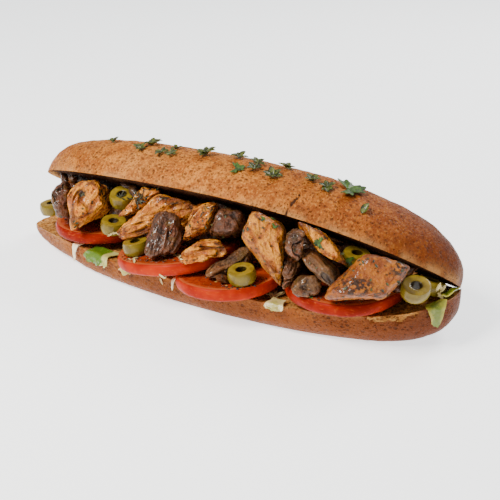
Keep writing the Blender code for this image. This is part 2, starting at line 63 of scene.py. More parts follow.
# %% Lumps and pits
def cell_number(cells, seed):
    """A repeatable number from 0 to 1 for each whole-numbered cell."""
    cells = cells.astype(np.int64)
    mixed = cells[:, 0] * 73856093 ^ cells[:, 1] * 19349663 ^ cells[:, 2] * 83492791 ^ (seed + 7) * 2654435
    mixed = (mixed ^ (mixed >> 13)) * 1274126177 & 0xFFFFFFFF
    return ((mixed ^ (mixed >> 16)) & 0xFFFF) / 0xFFFF


def lumps(points, size, seed=0):
    """Soft unevenness from -1 to 1, with lumps of about one size in millimetres."""
    scaled = points / size
    cell = np.floor(scaled)
    part = scaled - cell
    part = part * part * (3 - 2 * part)
    total = np.zeros(len(points))
    for corner in itertools.product((0, 1), repeat=3):
        corner = np.array(corner)
        weight = np.prod(np.where(corner == 1, part, 1 - part), axis=1)
        total += weight * cell_number(cell + corner, seed)
    return total * 2 - 1


def pit_distance(points, size, seed=0):
    """Distance to the nearest of scattered spots, where 1 is their spacing."""
    scaled = points / size
    cell = np.floor(scaled)
    nearest = np.full(len(points), 9.0)
    for step in itertools.product((-1, 0, 1), repeat=3):
        near = cell + np.array(step)
        spot = near + np.stack([cell_number(near, seed + k) for k in range(3)], axis=1)
        nearest = np.minimum(nearest, ((scaled - spot) ** 2).sum(axis=1))
    return np.sqrt(nearest)


def soft_step(values, low, high):
    """0 below low, 1 above high, and a smooth climb between."""
    share = np.clip((values - low) / (high - low), 0, 1)
    return share * share * (3 - 2 * share)


def over_grid(measure, grid, *more):
    """What a function of points gives, over a grid of points."""
    return measure(grid.reshape(-1, 3), *more).reshape(grid.shape[:2])


print("lumps at three places:", lumps(np.array([[1.0, 2, 3], [4, 5, 6], [7, 8, 9]]), 2.5).round(2))

# %% [markdown]
# ## Writing shaders as arithmetic
#
# A food finish is a sum of masks and clouds. Wiring that by hand is slow, so one small class
# wraps a node's output and adds Math nodes for ordinary arithmetic, and another holds the
# material and adds every other kind of node with one method.


# %% Wire, an output to do arithmetic with
class Wire:
    """One output of a material's nodes, which ordinary arithmetic can be done with."""

    def __init__(self, finish, socket):
        self.finish, self.socket = finish, socket

    def math(self, operation, *values):
        return self.finish.node("ShaderNodeMath", {"operation": operation}, values)

    def __add__(self, other):
        return self.math("ADD", self, other)

    def __mul__(self, other):
        return self.math("MULTIPLY", self, other)

    def __sub__(self, other):
        return self.math("SUBTRACT", self, other)

    def __rsub__(self, other):
        return self.math("SUBTRACT", other, self)

    __radd__, __rmul__ = __add__, __mul__

    def step(self, low, high):
        """0 below low, 1 above high, and a smooth climb between."""
        return self.finish.node("ShaderNodeMapRange", {"interpolation_type": "SMOOTHSTEP"}, (self, low, high))


# %% Finish, a material being made
class Finish:
    """A material being made: its Principled shader, and the nodes that feed it."""

    def __init__(self, name, **fixed):
        self.material = bpy.data.materials.new(name)
        self.material.use_nodes = True
        self.tree = self.material.node_tree
        self.shader = self.tree.nodes["Principled BSDF"]
        for socket, value in fixed.items():
            self.shader.inputs[socket.replace("_", " ")].default_value = value
        self.place = self.node("ShaderNodeTexCoord", output="Object")

    def node(self, kind, settings=None, inputs=(), output=0):
        """Adds any node: its settings first, then the values or links of its sockets."""
        made = self.tree.nodes.new(kind)
        for key, value in (settings or {}).items():
            setattr(made, key, value)
        for key, value in inputs.items() if isinstance(inputs, dict) else enumerate(inputs):
            if isinstance(value, Wire):
                self.tree.links.new(value.socket, made.inputs[key])
            else:
                made.inputs[key].default_value = value
        return Wire(self, made.outputs[output])

    def scaled_place(self, size, stretch):
        per_lump = tuple(1 / (size * MM * share) for share in stretch)
        return self.node("ShaderNodeVectorMath", {"operation": "MULTIPLY"}, (self.place, per_lump))

    def cloud(self, size, detail=2.0, stretch=(1, 1, 1)):
        """Cloudy values around 0.5, with lumps of a size in millimetres."""
        where = self.scaled_place(size, stretch)
        return self.node("ShaderNodeTexNoise", {}, {"Vector": where, "Scale": 1.0, "Detail": detail})

    def spots(self, size, stretch=(1, 1, 1)):
        """Distance to the nearest of scattered spots whose spacing is in millimetres."""
        where = self.scaled_place(size, stretch)
        return self.node("ShaderNodeTexVoronoi", {}, {"Vector": where, "Scale": 1.0}, "Distance")

    def mark(self, name):
        """A number that the piece carries at each of its points."""
        return self.node("ShaderNodeAttribute", {"attribute_name": name}, output="Fac")

    def mix(self, first, second, share):
        """First colour where share is 0, second where it is 1."""
        ends = [end if isinstance(end, Wire) else (*end, 1) for end in (first, second)]
        return self.node("ShaderNodeMix", {"data_type": "RGBA"}, {0: share, 6: ends[0], 7: ends[1]}, 2)

    def over(self, colour, *layers):
        """A colour with others laid over it in turn, each where its own share is 1."""
        for layer, share in layers:
            colour = self.mix(colour, layer, share)
        return colour

    def done(self, colour, roughness=None, height=None, depth=0.3):
        """Wires up the shader. Depth is the bump's height in millimetres."""
        wires = {"Base Color": colour, "Roughness": roughness}
        if height is not None:
            wires["Normal"] = self.node("ShaderNodeBump", {}, {"Distance": depth * MM, "Height": height})
        for socket, wire in wires.items():
            if wire is not None:
                self.tree.links.new(wire.socket, self.shader.inputs[socket])
        print("finish:", self.material.name, len(self.tree.nodes), "nodes")
        return self.material


# %% [markdown]
# ## Finished pieces
#
# Every piece ends as one mesh with its object at the origin, riding on the roll and standing for
# its plain solid. One function does that for all of them, from points in millimetres.


# %% Making a piece
def dress(obj, stands_for=()):
    """Lets a finished object ride on the roll in place of its plain solids."""
    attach(obj, "root")
    if stands_for:
        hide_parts(*stands_for)
    return obj


def make_piece(name, points, faces, finishes, stands_for=(), finish_of=None, marks=None, sharp=70):
    """A smooth mesh from points in millimetres, turned the right way out."""
    mesh = bpy.data.meshes.new(name)
    mesh.from_pydata((np.asarray(points) * MM).tolist(), [], faces)
    for finish in finishes:
        mesh.materials.append(finish)
    if finish_of is not None:
        mesh.polygons.foreach_set("material_index", np.asarray(finish_of, np.int32))
    for key, values in (marks or {}).items():
        mesh.attributes.new(key, "FLOAT", "POINT").data.foreach_set("value", np.asarray(values, np.float32))
    bm = bmesh.new()
    bm.from_mesh(mesh)
    bmesh.ops.recalc_face_normals(bm, faces=bm.faces)
    if bm.calc_volume(signed=True) < 0:
        bmesh.ops.reverse_faces(bm, faces=bm.faces)
    bm.to_mesh(mesh)
    bm.free()
    mesh.shade_smooth()
    mesh.set_sharp_from_angle(angle=math.radians(sharp))
    obj = bpy.data.objects.new(name, mesh)
    bpy.context.scene.collection.objects.link(obj)
    print(name, len(mesh.polygons), "faces")
    return dress(obj, stands_for)


def ring_faces(rings, steps):
    """Faces through rings of points, and a fan from each end ring to a point of its own."""
    faces = []
    for ring in range(rings - 1):
        low, high = ring * steps, (ring + 1) * steps
        for step in range(steps):
            ahead = (step + 1) % steps
            faces.append((low + step, low + ahead, high + ahead, high + step))
    first, last = rings * steps, rings * steps + 1
    top = (rings - 1) * steps
    for step in range(steps):
        ahead = (step + 1) % steps
        faces.append((ahead, step, first))
        faces.append((top + step, top + ahead, last))
    return faces


def with_ends(grid):
    """Points of a ring grid as one list, with the middles of its first and last ring."""
    return np.concatenate([grid.reshape(-1, 3), [grid[0].mean(axis=0)], [grid[-1].mean(axis=0)]])


def with_two(values):
    """Numbers on a ring grid as one list, with nought for the two end points."""
    return np.concatenate([values.reshape(-1), [0, 0]])


def grid_normals(grid):
    """Unit normals over a ring grid, pointing out of the piece."""
    inward = np.gradient(grid, axis=0)
    around = np.roll(grid, -1, axis=1) - np.roll(grid, 1, axis=1)
    normal = np.cross(around, inward)
    return normal / np.maximum(np.linalg.norm(normal, axis=2, keepdims=True), 1e-9)


# %% [markdown]
# ## Camera, light and floor
#
# The roll is seen from a little above its open side, through a long lens. The light is a broad,
# soft one from the upper front left, with a weaker one behind that catches the top of the crust.

# %% Camera, light and floor
AZIMUTH, ELEVATION = math.radians(32.0), math.radians(23.3)
TARGET = Vector((0.01204, 0.00752, 0.0184))
TOWARDS_EYE = Vector((
    math.sin(AZIMUTH) * math.cos(ELEVATION),
    -math.cos(AZIMUTH) * math.cos(ELEVATION),
    math.sin(ELEVATION),
))
RIGHTWARDS = Vector((math.cos(AZIMUTH), math.sin(AZIMUTH), 0))
UPWARDS = TOWARDS_EYE.cross(RIGHTWARDS)

CAMERA_DISTANCE, FOCAL_LENGTH, SENSOR = 0.55, 72.13, 36.0
PICTURE = 500

lens = bpy.data.cameras.new("camera")
lens.lens, lens.sensor_width = FOCAL_LENGTH, SENSOR
eye = bpy.data.objects.new("camera", lens)
eye.location = TARGET + TOWARDS_EYE * CAMERA_DISTANCE
eye.rotation_euler = (-TOWARDS_EYE).to_track_quat("-Z", "Y").to_euler()
bpy.context.scene.collection.objects.link(eye)
bpy.context.scene.camera = eye


def soft_light(name, place, size, power, colour):
    """A square lamp that faces the roll."""
    lamp = bpy.data.lights.new(name, "AREA")
    lamp.size, lamp.energy, lamp.color = size, power, colour
    obj = bpy.data.objects.new(name, lamp)
    obj.location = place
    obj.rotation_euler = (Vector(place) - TARGET).to_track_quat("Z", "Y").to_euler()
    bpy.context.scene.collection.objects.link(obj)


WHITE, WARM = (1, 1, 1), (1, 0.97, 0.92)
soft_light("broad light", (-0.27, -0.68, 0.82), 0.34, 18.0, WARM)
soft_light("rim light", (0.25, 0.85, 0.75), 0.5, 9.0, WHITE)

surround = bpy.data.worlds.new("surround")
surround.use_nodes = True
background = surround.node_tree.nodes["Background"]
background.inputs["Color"].default_value = (*WARM, 1)
background.inputs["Strength"].default_value = 0.48
bpy.context.scene.world = surround

# The floor gives off a little light of its own, so that it stays pale
FLOOR_REACH = 4
floor_finish = Finish(
    "pale floor", Base_Color=(0.915, 0.915, 0.915, 1), Roughness=0.9,
    Emission_Color=(0.93, 0.97, 1, 1), Emission_Strength=1.5,
)
floor_mesh = bpy.data.meshes.new("floor")
corners = [(x * FLOOR_REACH, y * FLOOR_REACH, 0) for x, y in ((-1, -1), (1, -1), (1, 1), (-1, 1))]
floor_mesh.from_pydata(corners, [], [(0, 1, 2, 3)])
floor_mesh.materials.append(floor_finish.material)
floor = bpy.data.objects.new("floor", floor_mesh)
bpy.context.scene.collection.objects.link(floor)
print("camera at", [round(value, 3) for value in eye.location])

# %% [markdown]
# ## Bread finishes
#
# The crust is a warm light brown, paler and pinker at the left, deeper and more orange at the
# right end and darker towards its right tip in painted shade, with dark flecks of bran and small
# pores darkened by painted shade. The cut face is paler and full of holes darkened by painted
# shade, and painted shadow covers it away from the roll's left end.
# Colour, roughness and bump all read the place on the roll, so the two halves match.


# %% Crust and crumb
def bread_crust():
    finish = Finish("wholemeal crust", Specular_IOR_Level=0.13)
    along, up = (finish.node("ShaderNodeSeparateXYZ", inputs=[finish.place], output=axis) for axis in (0, 2))
    mottle, grain = finish.cloud(7, 3.0), finish.cloud(1.3, 3.0)
    light = finish.mix((0.54, 0.188, 0.027), (0.37, 0.104, 0.011), mottle.step(0.38, 0.62))
    deep = finish.mix((0.25, 0.050, 0.002), (0.15, 0.022, 0.001), mottle.step(0.4, 0.65))
    pale = finish.cloud(24).step(0.48, 0.7) * (0.4 - along.step(-0.02, 0.09) * 0.32)
    broad = finish.cloud(30, 2.0, (1.6, 1, 1)).step(0.47, 0.62) * (0.5 - along.step(0.0, 0.1) * 0.3)
    floury = (1 - grain).step(0.52, 0.66) * (0.45 - along.step(0.0, 0.12) * 0.2)
    low = (1 - up.step(0.007, 0.030)) * (0.7 + along.step(-0.10, -0.02) * 0.18)
    blotch = finish.cloud(3.2, 3.0, (1.7, 1, 1)).step(0.54, 0.66)
    fleck = (1 - finish.spots(2.3, (1.6, 1, 1))).step(0.66, 0.78) * finish.cloud(9, 1.0).step(0.36, 0.52)
    pore = (1 - finish.spots(1.9)).step(0.72, 0.86)
    colour = finish.over(
        light,
        (deep, along.step(0.0, 0.125) * 0.95),
        ((0.46, 0.195, 0.05), pale),
        ((0.27, 0.070, 0.007), broad),
        ((0.16, 0.035, 0.003), grain.step(0.50, 0.64) * 0.5),
        ((0.66, 0.28, 0.055), floury),
        ((0.17, 0.039, 0.003), low),
        # Painted shade: darker still towards the right tip of both halves.
        ((0.085, 0.015, 0.001), along.step(0.085, 0.135) * 0.75),
        ((0.17, 0.037, 0.004), blotch * 0.4),
        ((0.060, 0.014, 0.003), fleck * 0.62),
        # Painted shade in the pores.
        ((0.09, 0.020, 0.003), pore * 0.45),
        ((0.52, 0.26, 0.085), finish.mark("rim") * (0.35 + grain * 0.6)),
        # Painted shade in the crack.
        ((0.030, 0.008, 0.002), finish.mark("split").step(0.2, 0.7) * 0.95),
    )
    height = finish.cloud(0.9, 3.0) - pore * 0.9 - fleck * 0.3
    return finish.done(colour, 0.36 + grain * 0.3, height, 0.7)


def bread_crumb(name, shadow_share):
    """Cut crumb, and how dark the painted shadow over it is away from the roll's left end."""
    finish = Finish(name, Roughness=0.85, Specular_IOR_Level=0.12)
    along = finish.node("ShaderNodeSeparateXYZ", inputs=[finish.place], output=0)
    holes = (1 - finish.spots(1.6)).step(0.45, 0.8)
    # Painted shadow: the crumb darkens everywhere but at the roll's left end.
    painted_shadow = along.step(-0.124, -0.106) * (shadow_share + finish.cloud(6).step(0.4, 0.6) * 0.15)
    colour = finish.over(
        (0.62, 0.29, 0.075),
        ((0.42, 0.16, 0.030), finish.cloud(3.5, 3.0).step(0.38, 0.62)),
        ((0.034, 0.010, 0.003), painted_shadow),
        # Painted shade in the holes.
        ((0.09, 0.025, 0.005), holes * 0.65),
    )
    return finish.done(colour, height=finish.cloud(0.9) - holes, depth=0.5)


# Painted shadow on both cut faces: a little on the heel's, nearly black on the crown's underside.
crust, crumb = bread_crust(), bread_crumb("cut crumb", 0.2)
shadowed_crumb = bread_crumb("cut crumb, painted shadow", 0.95)

# %% [markdown]
# ## The two halves of the roll
#
# Both halves follow the same rules as their plain solids: a superellipse in plan, a domed top
# tilted back about its rear edge, and a rounded underside that stands flat. Here the points lie
# about a millimetre apart, which leaves room for pores, soft dents and a crack in the crust.

# %% Sizes of the roll, in millimetres
HEEL = dict(half_length=134.8, half_breadth=41.5, fullness=(1.9, 2.2))
HEEL_RIM_HEIGHT, HEEL_RIGHT_RISE, HEEL_LEFT_FALL = 15.6, 11.0, 7.5
HEEL_SIDE_ROUND, HEEL_FLAT_SHARE, HEEL_HOLLOW = 3.6, 0.85, 2.4
HEEL_BACK_ENDS = ((80, 122), (110, 133))
CROWN = dict(half_length=128.5, half_breadth=36.4, fullness=(2.45, 2.45))
CROWN_CENTRE = np.array((4.9, 3.2, 41.0))
CROWN_TILT = math.radians(32.9)
CROWN_DOME, CROWN_DOME_ROUND, CROWN_DOME_ENDS, CROWN_DOME_FALL = 29.0, 2.24, 4.6, 2.7
CROWN_RIGHT_DROOP, CROWN_LEFT_DROOP = 12.3, 3.8
GAP = 0.35
STEPS = 520


def plan_ring(share, half_length, half_breadth, fullness):
    """Places round the plan outline, drawn in towards the middle by a share."""
    angle = 2 * np.pi * (np.arange(STEPS) + 0.5) / STEPS
    cos, sin = np.cos(angle), np.sin(angle)
    power = 2 / np.where(cos > 0, fullness[1], fullness[0])
    x = share * half_length * np.sign(cos) * np.abs(cos) ** power
    return x, share * half_breadth * np.sign(sin) * np.abs(sin) ** power


def breadth_at(x, half_length, half_breadth, fullness):
    """Half the breadth at a place along the plan outline."""
    power = np.where(np.asarray(x) > 0, fullness[1], fullness[0])
    inside = np.clip(1 - (np.abs(x) / half_length) ** power, 0, None)
    return half_breadth * inside ** (1 / power)


# %% The shape of the crown, the upper half
def crown_droop(x):
    """How far the crown hangs down towards its ends."""
    share = np.abs(x) / CROWN["half_length"]
    return np.where(x > 0, CROWN_RIGHT_DROOP * share**2.15, CROWN_LEFT_DROOP * share**1.3)


def crown_to_roll(x, across, height):
    """From places on the crown, where across is negative at the front, to the roll's frame."""
    cos, sin = math.cos(CROWN_TILT), math.sin(CROWN_TILT)
    turned = (x, across * cos + height * sin, -across * sin + height * cos - crown_droop(x))
    return CROWN_CENTRE + np.stack(turned, axis=-1)


def dome_height(x, across):
    """Height of the crust above the crown's cut face."""
    breadth = np.maximum(breadth_at(x, **CROWN), 1e-6)
    along = np.clip(1 - np.abs(x / CROWN["half_length"]) ** CROWN_DOME_ENDS, 0, None)
    side = np.clip(1 - np.minimum(1, np.abs(across) / breadth) ** CROWN_DOME_ROUND, 0, None)
    return CROWN_DOME * along ** (1 / CROWN_DOME_FALL) * side ** (1 / CROWN_DOME_ROUND)


# %% The crack, the crust and the crumb
CRACK_FROM, CRACK_TO = np.array((51.2, -32.4)), np.array((48.3, -36.0))
CRACK_DEPTH = 0.9


def crack_share(x, across):
    """1 along the short crack in the crown's front, fading out over about a millimetre."""
    way = CRACK_TO - CRACK_FROM
    spot = np.stack([x, across], axis=-1) - CRACK_FROM
    along = np.clip(spot @ way / (way @ way), 0, 1)
    bend = 0.4 * np.sin(7 * along)
    away = np.linalg.norm(spot - along[..., None] * way - np.stack([bend, 0 * bend], axis=-1), axis=-1)
    return 1 - soft_step(away, 0.15, 0.8)


def crust_relief(points):
    """Soft dents, fine grain and open pores of a baked crust, in millimetres."""
    pores = 1 - soft_step(pit_distance(points, 4.2, 3), 0.10, 0.30)
    keep = soft_step(lumps(points, 15, 5), -0.2, 0.4)
    return (
        0.45 * lumps(points, 22, 1)
        + 0.26 * lumps(points, 7, 2)
        + 0.20 * lumps(points, 2.6, 4)
        + 0.06 * lumps(points, 1.3, 6)
        - 0.45 * pores * keep
    )


def crumb_relief(points):
    """A torn, holed cut face."""
    holes = 1 - soft_step(pit_distance(points, 3.0, 8), 0.1, 0.45)
    return 0.35 * lumps(points, 5, 9) + 0.2 * lumps(points, 1.8, 10) - 0.5 * holes


# %% Making the crown
NEAR_MIDDLE = 0.02
CROWN_CUT_RINGS, CROWN_DOME_RINGS = 26, 62


def make_crown():
    """The cut face from its middle out to the rim, then the dome from the rim to its top."""
    under = np.linspace(NEAR_MIDDLE, 0.99, CROWN_CUT_RINGS)
    over = np.cos(np.linspace(0.0, 1.555, CROWN_DOME_RINGS)) ** (2 / CROWN_DOME_ROUND)
    rings, split = [], []
    for share in under:
        x, across = plan_ring(share, **CROWN)
        rings.append(crown_to_roll(x, across, np.zeros(STEPS)))
        split.append(np.zeros(STEPS))
    for share in over:
        x, across = plan_ring(share, **CROWN)
        rings.append(crown_to_roll(x, across, dome_height(x, across)))
        split.append(crack_share(x, across))
    grid, split = np.array(rings), np.array(split)
    normals = grid_normals(grid)
    is_cut = np.arange(len(grid))[:, None] < len(under)
    relief = np.where(is_cut, over_grid(crumb_relief, grid), over_grid(crust_relief, grid))
    relief[:len(under)] *= 0.7
    relief[len(under)] *= 0.3
    points = grid + normals * (relief - CRACK_DEPTH * split)[..., None]
    edge = np.exp(-np.abs(np.arange(len(grid)) - len(under) - 0.5) / 1.6)
    rim = edge[:, None] * soft_step(over_grid(lumps, grid, 6, 12), -0.5, 0.4)
    marks = {"rim": with_two(rim), "split": with_two(split)}
    finish_of = np.ones((len(grid) - 1) * STEPS, int)
    finish_of[len(under) * STEPS:] = 0
    finish_of = np.concatenate([finish_of, np.tile((1, 0), STEPS)])
    return make_piece(
        "crown_bread", with_ends(points), ring_faces(len(grid), STEPS), (crust, shadowed_crumb),
        ["roll_crown"], finish_of, marks,
    )


make_crown()


# %% The shape of the heel, the lower half
def heel_rim(x):
    """Height of the heel's cut rim along its length."""
    along = np.clip(x / HEEL["half_length"], -1, 1)
    return HEEL_RIM_HEIGHT + np.where(along > 0, HEEL_RIGHT_RISE * along**6, -HEEL_LEFT_FALL * along**8)


def crown_level(x, y):
    """Height of the crown's cut face above a place, level beyond its rear edge."""
    along = x - CROWN_CENTRE[0]
    back = breadth_at(along, **CROWN) * math.cos(CROWN_TILT)
    fall = np.minimum(y - CROWN_CENTRE[1], back) * math.tan(CROWN_TILT)
    return CROWN_CENTRE[2] - crown_droop(along) - fall


def heel_edge(x, y):
    """Height of the cut at a place on the heel: it climbs at the back to meet the crown."""
    breadth = breadth_at(x, **HEEL)
    seam = crown_level(x, HEEL["half_breadth"]) - 2 * GAP
    meets, falls = (np.where(x > 0, right, left) for left, right in zip(*HEEL_BACK_ENDS))
    near = soft_step((falls - np.abs(x)) / (falls - meets), 0, 1)
    climb = soft_step(y / np.maximum(breadth, 1), 0.3, 0.95)
    level = heel_rim(x) + (seam - heel_rim(x)) * near * climb
    return np.minimum(level, crown_level(x, y) - 3 * GAP)


# %% Making the heel
UNDERSIDE, SIDE, CUT = 0.0, 1.0, 2.0
HEEL_UNDER_RINGS, HEEL_SIDE_RINGS, HEEL_CUT_RINGS = 8, 26, 34
TORN_FROM, TORN_TO = 98, 125


def make_heel():
    """The flat underside from its middle out, up the side to the rim, and in over the cut."""
    power = HEEL_SIDE_ROUND
    deepest = (1 - HEEL_FLAT_SHARE**power) ** (1 / power)
    rings, kinds = [], []
    for share in np.linspace(NEAR_MIDDLE, HEEL_FLAT_SHARE, HEEL_UNDER_RINGS)[:-1]:
        x, y = plan_ring(share, **HEEL)
        rings.append(np.stack([x, y, np.zeros(STEPS)], axis=-1))
        kinds.append(UNDERSIDE)
    for depth in np.linspace(1, 0, HEEL_SIDE_RINGS):
        share = (1 - (depth * deepest) ** power) ** (1 / power)
        x, y = plan_ring(share, **HEEL)
        rings.append(np.stack([x, y, heel_edge(x, y) * (1 - depth)], axis=-1))
        kinds.append(SIDE if 0 < depth < 1 else UNDERSIDE)
    outer = len(rings)
    for share in 1 - np.linspace(0.006, 1 - NEAR_MIDDLE, HEEL_CUT_RINGS) ** 1.25:
        x, y = plan_ring(share, **HEEL)
        rings.append(np.stack([x, y, heel_edge(x, y) - HEEL_HOLLOW * (1 - share**3)], axis=-1))
        kinds.append(CUT)
    grid, kinds = np.array(rings), np.array(kinds)[:, None]
    relief = np.where(kinds == CUT, over_grid(crumb_relief, grid), over_grid(crust_relief, grid))
    x, y, z = grid[..., 0], grid[..., 1], grid[..., 2]
    ragged = 2.6 + 1.6 * over_grid(lumps, grid, 4, 14)
    near_rim = soft_step(z - heel_edge(x, y) + ragged, -0.6, 0.6) * (kinds == SIDE)
    torn = near_rim * soft_step(x, TORN_FROM, TORN_FROM + 4) * soft_step(-x, -TORN_TO, 4 - TORN_TO) * (y < 0)
    relief = relief + torn * (2.2 * over_grid(crumb_relief, grid) - 0.5)
    relief[kinds[:, 0] == UNDERSIDE] = 0
    relief *= np.minimum(1, z / 2)
    points = grid + grid_normals(grid) * relief[..., None]
    points[..., 2] = np.maximum(points[..., 2], 0)
    finish_of = np.zeros((len(grid) - 1) * STEPS, int)
    finish_of[outer * STEPS:] = 1
    finish_of[torn[:-1].reshape(-1) > 0.5] = 1
    finish_of = np.concatenate([finish_of, np.tile((0, 1), STEPS)])
    edge = np.exp(-np.abs(np.arange(len(grid)) - outer + 0.5) / 1.4)
    rim = edge[:, None] * soft_step(over_grid(lumps, grid, 6, 13), -0.4, 0.4)
    return make_piece(
        "heel_bread", with_ends(points), ring_faces(len(grid), STEPS), (crust, crumb),
        ["roll_heel"], finish_of, {"rim": with_two(rim)},
    )


heel = make_heel()

# %% [markdown]
# ## Tomato slices
#
# A slice has a tight, glossy skin round its side and two wet cut faces. The cut face has a firm
# outer wall and pockets of jelly with seeds. A map from the slice's own middle carries that
# pattern, because the slices lie in different places and at different tilts.


# %% Tomato finishes
def tomato_skin(name, ripe, deep):
    finish = Finish(name, Specular_IOR_Level=0.05)
    # Painted highlight: lighter streaks that run round the skin.
    painted_highlight = finish.cloud(2.2, 3.0, (1, 1, 0.4)).step(0.56, 0.75)
    colour = finish.over(ripe, (deep, finish.cloud(11).step(0.35, 0.65)), ((0.52, 0.09, 0.012), painted_highlight * 0.5))
    return finish.done(colour, 0.24 + finish.cloud(4) * 0.3, finish.cloud(3), 0.2)


def tomato_flesh():
    finish = Finish("tomato flesh", Specular_IOR_Level=0.35, Coat_Weight=0.1, Coat_Roughness=0.1)
    on_slice = finish.node("ShaderNodeUVMap", {"uv_map": "slice"})
    reach = finish.node("ShaderNodeVectorMath", {"operation": "LENGTH"}, [on_slice], "Value")
    pocket, grain = finish.mark("pocket"), finish.cloud(1.6, 3.0)
    seed = (1 - finish.spots(3.4)).step(0.72, 0.8) * pocket
    colour = finish.over(
        (0.36, 0.045, 0.010),
        ((0.24, 0.018, 0.004), grain.step(0.35, 0.7)),
        ((0.62, 0.15, 0.04), reach.step(0.86, 0.93) * 0.5),
        ((0.26, 0.026, 0.003), pocket * 0.75),
        ((0.55, 0.30, 0.08), seed),
    )
    return finish.done(colour, 0.12 + grain * 0.2, grain * 0.5 + seed - pocket * 0.4, 0.35)


# %% Tomato slices
TOMATO_THICK, POCKET_DEPTH = 6.2, 0.5
# Slice: middle of its underside, radius, and tilt in degrees
TOMATOES = (
    ("tomato_1", (-77.0, -9.5, 18.9), 27.2, 0.0),
    ("tomato_2", (-11.0, -25.0, 21.9), 33.0, 9.3),
    ("tomato_3", (23.0, -30.3, 17.6), 27.2, 3.0),
    ("tomato_4", (80.8, -13.2, 20.0), 31.0, 1.0),
)


def make_tomato(name, centre, radius, tilt, finishes):
    """A slice built ring by ring: underside, skin, upper side."""
    phase = random.Random(name).uniform(0, 2 * math.pi)
    lean = np.array(Matrix.Rotation(math.radians(-tilt), 3, "Y"))
    side = [(0.955 + 0.042 * math.sin(math.pi * level) ** 0.6, level) for level in np.linspace(0, 1, 11)]
    inner = [(share, None) for share in np.linspace(0.94, 0.03, 22)]
    profile = [(share, 0.0) for share, _ in reversed(inner)] + side + [(share, 1.0) for share, _ in inner]
    steps = 180
    angle = 2 * np.pi * np.arange(steps) / steps
    swell = 1 + 0.018 * np.sin(3 * angle + phase) + 0.008 * np.sin(5 * angle)
    pockets, rings, on_slice = [], [], []
    for share, level in profile:
        reach = radius * share * swell
        lobes = soft_step(np.sin(5 * angle + phase + 0.5 * np.sin(2 * angle)), -0.35, 0.1)
        pocket = lobes * soft_step(share, 0.25, 0.4) * soft_step(-share, -0.82, -0.74)
        pocket = pocket * (level in (0.0, 1.0)) * (share < 0.95)
        height = TOMATO_THICK * level - pocket * (POCKET_DEPTH if level == 1.0 else -POCKET_DEPTH)
        ring = np.stack([reach * np.cos(angle), reach * np.sin(angle), height], axis=-1)
        rings.append(np.array(centre) + ring @ lean.T)
        pockets.append(pocket)
        on_slice.append(np.stack([share * np.cos(angle), share * np.sin(angle)], axis=-1))
    grid = np.array(rings)
    wet = 0.10 * over_grid(lumps, grid, 3, 21) + 0.12 * over_grid(lumps, grid, 8, 22)
    grid = grid + grid_normals(grid) * wet[..., None]
    low, high = len(inner), len(inner) + len(side)
    finish_of = np.ones((len(grid) - 1) * steps, int)
    finish_of[low * steps:(high - 1) * steps] = 0
    finish_of = np.concatenate([finish_of, np.ones(2 * steps, int)])
    marks = {"pocket": with_two(np.array(pockets))}
    obj = make_piece(
        name + "_slice", with_ends(grid), ring_faces(len(grid), steps), finishes,
        [name], finish_of, marks, sharp=50,
    )
    flat_map = np.concatenate([np.array(on_slice).reshape(-1, 2), [[0, 0]], [[0, 0]]])
    layer = obj.data.uv_layers.new(name="slice")
    corner = np.empty(len(obj.data.loops), np.int32)
    obj.data.loops.foreach_get("vertex_index", corner)
    layer.data.foreach_set("uv", flat_map[corner].astype(np.float32).reshape(-1))
    return obj


flesh = tomato_flesh()
bright_skin = tomato_skin("tomato skin", (0.40, 0.024, 0.002), (0.27, 0.010, 0.001))
# Painted shade: tomato_1 and tomato_4 get a darker copy of the same skin.
shaded_skin = tomato_skin("tomato skin, painted shade", (0.26, 0.012, 0.001), (0.17, 0.006, 0.001))
slices = {}
for spec in TOMATOES:
    skin = shaded_skin if spec[0] in ("tomato_1", "tomato_4") else bright_skin
    slices[spec[0]] = make_tomato(*spec, (skin, flesh))

# %% [markdown]
# ## Olive rings
#
# Each ring is a slice through a pitted olive: a short barrel, smooth outside, with flat cut faces
# and a round hole. A turned profile gives that, and a number carried by the points says where the
# skin ends and the paler cut flesh begins.


# %% Olive finish
def olive_flesh():
    finish = Finish("olive", Specular_IOR_Level=0.28, Coat_Weight=0.08, Coat_Roughness=0.12)
    skin, hole = finish.mark("skin"), finish.mark("hole")
    on_skin = finish.mix((0.17, 0.115, 0.005), (0.10, 0.063, 0.003), finish.cloud(5, 3.0).step(0.4, 0.7))
    speck = (1 - finish.spots(1.2)).step(0.78, 0.9)
    colour = finish.over(
        (0.28, 0.185, 0.014),
        ((0.19, 0.118, 0.007), finish.cloud(3).step(0.35, 0.65)),
        (on_skin, skin),
        # Painted shade: the inside of the hole darkened almost to black.
        ((0.022, 0.013, 0.002), hole * 0.92),
        ((0.30, 0.23, 0.04), speck * 0.5),
    )
    return finish.done(colour, 0.2 + finish.cloud(3) * 0.2, finish.cloud(1.2), 0.12)


# %% Olive rings
OLIVE_RADIUS, OLIVE_HOLE, OLIVE_THICK = 7.2, 2.7, 6.4
# Ring: its middle, and its tilts about x and y in degrees
OLIVES = (
    ("olive_1", (-112.4, -13.5, 25.2), 4, -6),
    ("olive_2", (-52.8, -20.5, 45.0), 20, 8),
    ("olive_3", (-52.6, -29.5, 32.0), 6, 8),
    ("olive_4", (-27.3, -42.5, 29.8), 3, -9),
    ("olive_5", (38.2, -42.2, 29.4), 8, -2),
    ("olive_6", (87.4, -16.0, 40.0), 0, 10),
    ("olive_7", (120.8, -20.0, 33.1), 18, 14),
    ("olive_8", (121.8, -3.4, 28.4), -16, 8),
)


